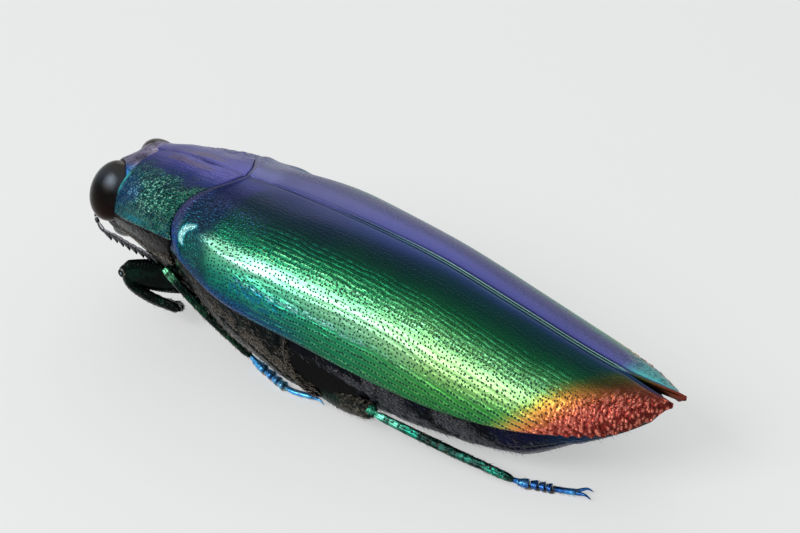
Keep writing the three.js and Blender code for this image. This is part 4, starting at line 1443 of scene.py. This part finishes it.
def hairTree(material):
    tree = bpy.data.node_groups.new("hair growth", "GeometryNodeTree")
    graph = Graph(tree)
    tree.interface.new_socket("Geometry", in_out="INPUT", socket_type="NodeSocketGeometry")
    tree.interface.new_socket("Geometry", in_out="OUTPUT", socket_type="NodeSocketGeometry")
    names = {}
    for name in ("Density", "Length", "Radius", "Lift", "Spread"):
        socket = tree.interface.new_socket(name, in_out="INPUT", socket_type="NodeSocketFloat")
        names[name] = socket.identifier
    socket = tree.interface.new_socket("Seed", in_out="INPUT", socket_type="NodeSocketInt")
    names["Seed"] = socket.identifier
    given = graph.node("NodeGroupInput", out="Geometry")
    density, length, radius = (given.other(name) for name in ("Density", "Length", "Radius"))

    def mark(name, kind):
        return graph.node("GeometryNodeInputNamedAttribute", {"data_type": kind}, {"Name": name})

    crowding = mark("down", "FLOAT") * density * 1e6
    points = graph.node("GeometryNodeDistributePointsOnFaces", {"distribute_method": "RANDOM"},
                        {"Mesh": given, "Density": crowding, "Seed": given.other("Seed")}, out="Points")
    normal = points.other("Normal")
    chance = graph.node("FunctionNodeRandomValue", {"data_type": "FLOAT_VECTOR"},
                        {0: (-1, -1, -1), 1: (1, 1, 1), "Seed": given.other("Seed")})
    way = graph.vectorSum(mark("lie", "FLOAT_VECTOR"), graph.scaled(normal, given.other("Lift")))
    way = graph.vectorSum(way, graph.scaled(chance, given.other("Spread")))
    turn = graph.node("FunctionNodeAlignRotationToVector", {"axis": "Z"}, {"Vector": way})
    turn = graph.node("FunctionNodeAlignRotationToVector", {"axis": "X", "pivot_axis": "Z"},
                      {"Rotation": turn, "Vector": normal})
    vary = graph.node("FunctionNodeRandomValue", {"data_type": "FLOAT"}, {2: 0.6, 3: 1.25, "Seed": 17},
                      out=1)
    size = graph.node("ShaderNodeCombineXYZ", None,
                      {0: radius * 0.001, 1: radius * 0.001, 2: length * vary * 0.001})
    grown = graph.node("GeometryNodeInstanceOnPoints", None,
                       {"Points": points, "Instance": bentHair(graph), "Rotation": turn, "Scale": size})
    grown = graph.node("GeometryNodeRealizeInstances", None, {"Geometry": grown})
    local = graph.node("ShaderNodeSeparateXYZ", None, {0: mark("local", "FLOAT_VECTOR")})
    tuft = graph.node("ShaderNodeCombineXYZ", None, {0: local * 0.0015, 1: local.other("Z") * 0.003})
    patch = graph.vectorSum(mark("place", "FLOAT_VECTOR"), tuft)
    grown = graph.node("GeometryNodeStoreNamedAttribute", {"data_type": "FLOAT2", "domain": "CORNER"},
                       {"Geometry": grown, "Name": "OFBake", "Value": patch})
    grown = graph.node("GeometryNodeSetMaterial", None, {"Geometry": grown, "Material": material})
    graph.node("NodeGroupOutput", None, {"Geometry": grown}, out=None)
    return tree, names


def growHairs(name, hosts, kind):
    tree, names = hairTrees[kind]
    bare = joinAs("bare_" + name, [addObject("bare", host.data.copy()) for host in hosts])
    growth = bare.modifiers.new("growth", "NODES")
    growth.node_group = tree
    for key, value in hairs[kind]["growth"].items():
        growth[names[key]] = value
    bare.update_tag()
    evaluated = bare.evaluated_get(bpy.context.evaluated_depsgraph_get())
    mesh = bpy.data.meshes.new_from_object(evaluated)
    bare.modifiers.remove(growth)
    bpy.data.objects.remove(bare)
    print(name, len(mesh.polygons), "faces")
    handIn(addObject(name, mesh), "downy")


def hairLook(name, root, tip):
    look = Look(name)
    along = look.node("ShaderNodeSeparateXYZ", None, {0: look.mark("local", "Vector")}, out=2)
    cloud = look.noise(look.scaled(look.mark("place", "Vector"), 60.0), 2.0)
    look.shade = look.blend(along.step(0.0, 0.7), root, tip)
    look.paint(cloud.step(0.35, 0.7) * 0.5, root)
    return look.done(rough=0.5 + cloud * 0.2, specular=0.3)


hairTrees = {kind: hairTree(hairLook(kind, *hairs[kind]["shades"])) for kind in hairs}
growHairs("down_thorax", [sternum, thorax], "down")
growHairs("down_abdomen", [abdomen], "belly down")
for side in ("left", "right"):
    growHairs("bristles_" + side, legPieces[side], "bristles")
print("down grown")


# light, floor and camera

stage = {"azimuth": 34.605, "elevation": 30.390, "roll": -0.326, "distance": 0.10761,
         "target": (11.132, 0, 7.364), "lens": 82.83, "shift": (0.0089, 0.01356), "floorSize": 3.0,
         "wash": 0.5, "sky": 0.6}
lamps = {
    "key": {"direction": (-0.28, -0.73, 0.62), "distance": 0.35, "size": (0.22, 0.17), "watts": 0.66},
    "rim": {"direction": (-0.35, 0.75, 0.6), "distance": 0.4, "size": (0.3, 0.2), "watts": 0.22},
}


def makeCamera():
    a, e = math.radians(stage["azimuth"]), math.radians(stage["elevation"])
    back = Vector((math.sin(a) * math.cos(e), -math.cos(a) * math.cos(e), math.sin(e)))
    target = Vector(stage["target"]) / 1000 + Vector((originShift / 1000, 0, 0))
    camera = addObject("camera", bpy.data.cameras.new("camera"))
    camera.location = target + back * stage["distance"]
    turn = (-back).to_track_quat("-Z", "Y")
    camera.rotation_mode = "QUATERNION"
    camera.rotation_quaternion = turn @ Matrix.Rotation(math.radians(stage["roll"]), 3, "Z").to_quaternion()
    camera.data.lens = stage["lens"]
    camera.data.shift_x, camera.data.shift_y = stage["shift"]
    camera.data.clip_start, camera.data.clip_end = 0.005, 20
    bpy.context.scene.camera = camera


def makeFloor():
    size = stage["floorSize"]
    mesh = bpy.data.meshes.new("floor")
    corners = [(-size, -size, 0), (size, -size, 0), (size, size, 0), (-size, size, 0)]
    mesh.from_pydata(corners, [], [(0, 1, 2, 3)])
    floor = addObject("floor", mesh)
    look = Look("floor")
    grit = look.noise(look.ownSpace(), 3.0)
    shade = look.blend(grit * 0.1, "#e6e7e5", "#dcdddb")
    lit = look.node("ShaderNodeBsdfDiffuse", None, {0: shade})
    white = look.node("ShaderNodeEmission", None, {0: "#f4f5f5", 1: 1.0})
    ray = look.node("ShaderNodeLightPath", out="Is Camera Ray")
    seen = ray.maths("MAXIMUM", ray.other("Is Glossy Ray"))
    seen = seen.maths("MAXIMUM", ray.other("Is Transmission Ray"))
    whole = look.node("ShaderNodeMixShader", None, {0: seen * stage["wash"], 1: lit, 2: white})
    look.node("ShaderNodeOutputMaterial", None, {0: whole}, out=None)
    wear(floor, look.material)


def makeLamp(name):
    lamp = bpy.data.lights.new(name, "AREA")
    lamp.shape = "RECTANGLE"
    lamp.size, lamp.size_y = lamps[name]["size"]
    lamp.energy = lamps[name]["watts"]
    box = addObject(name, lamp)
    aim = Vector(lamps[name]["direction"]).normalized()
    box.location = aim * lamps[name]["distance"]
    box.rotation_mode = "QUATERNION"
    box.rotation_quaternion = aim.to_track_quat("Z", "Y")


world = bpy.data.worlds.new("studio")
world.use_nodes = True
world.node_tree.nodes["Background"].inputs[0].default_value = colour("#f2f4f6")
world.node_tree.nodes["Background"].inputs[1].default_value = stage["sky"]
bpy.context.scene.world = world
makeCamera()
makeFloor()
for name in lamps:
    makeLamp(name)
bpy.context.scene.view_settings.view_transform = "Standard"
print("stage set")
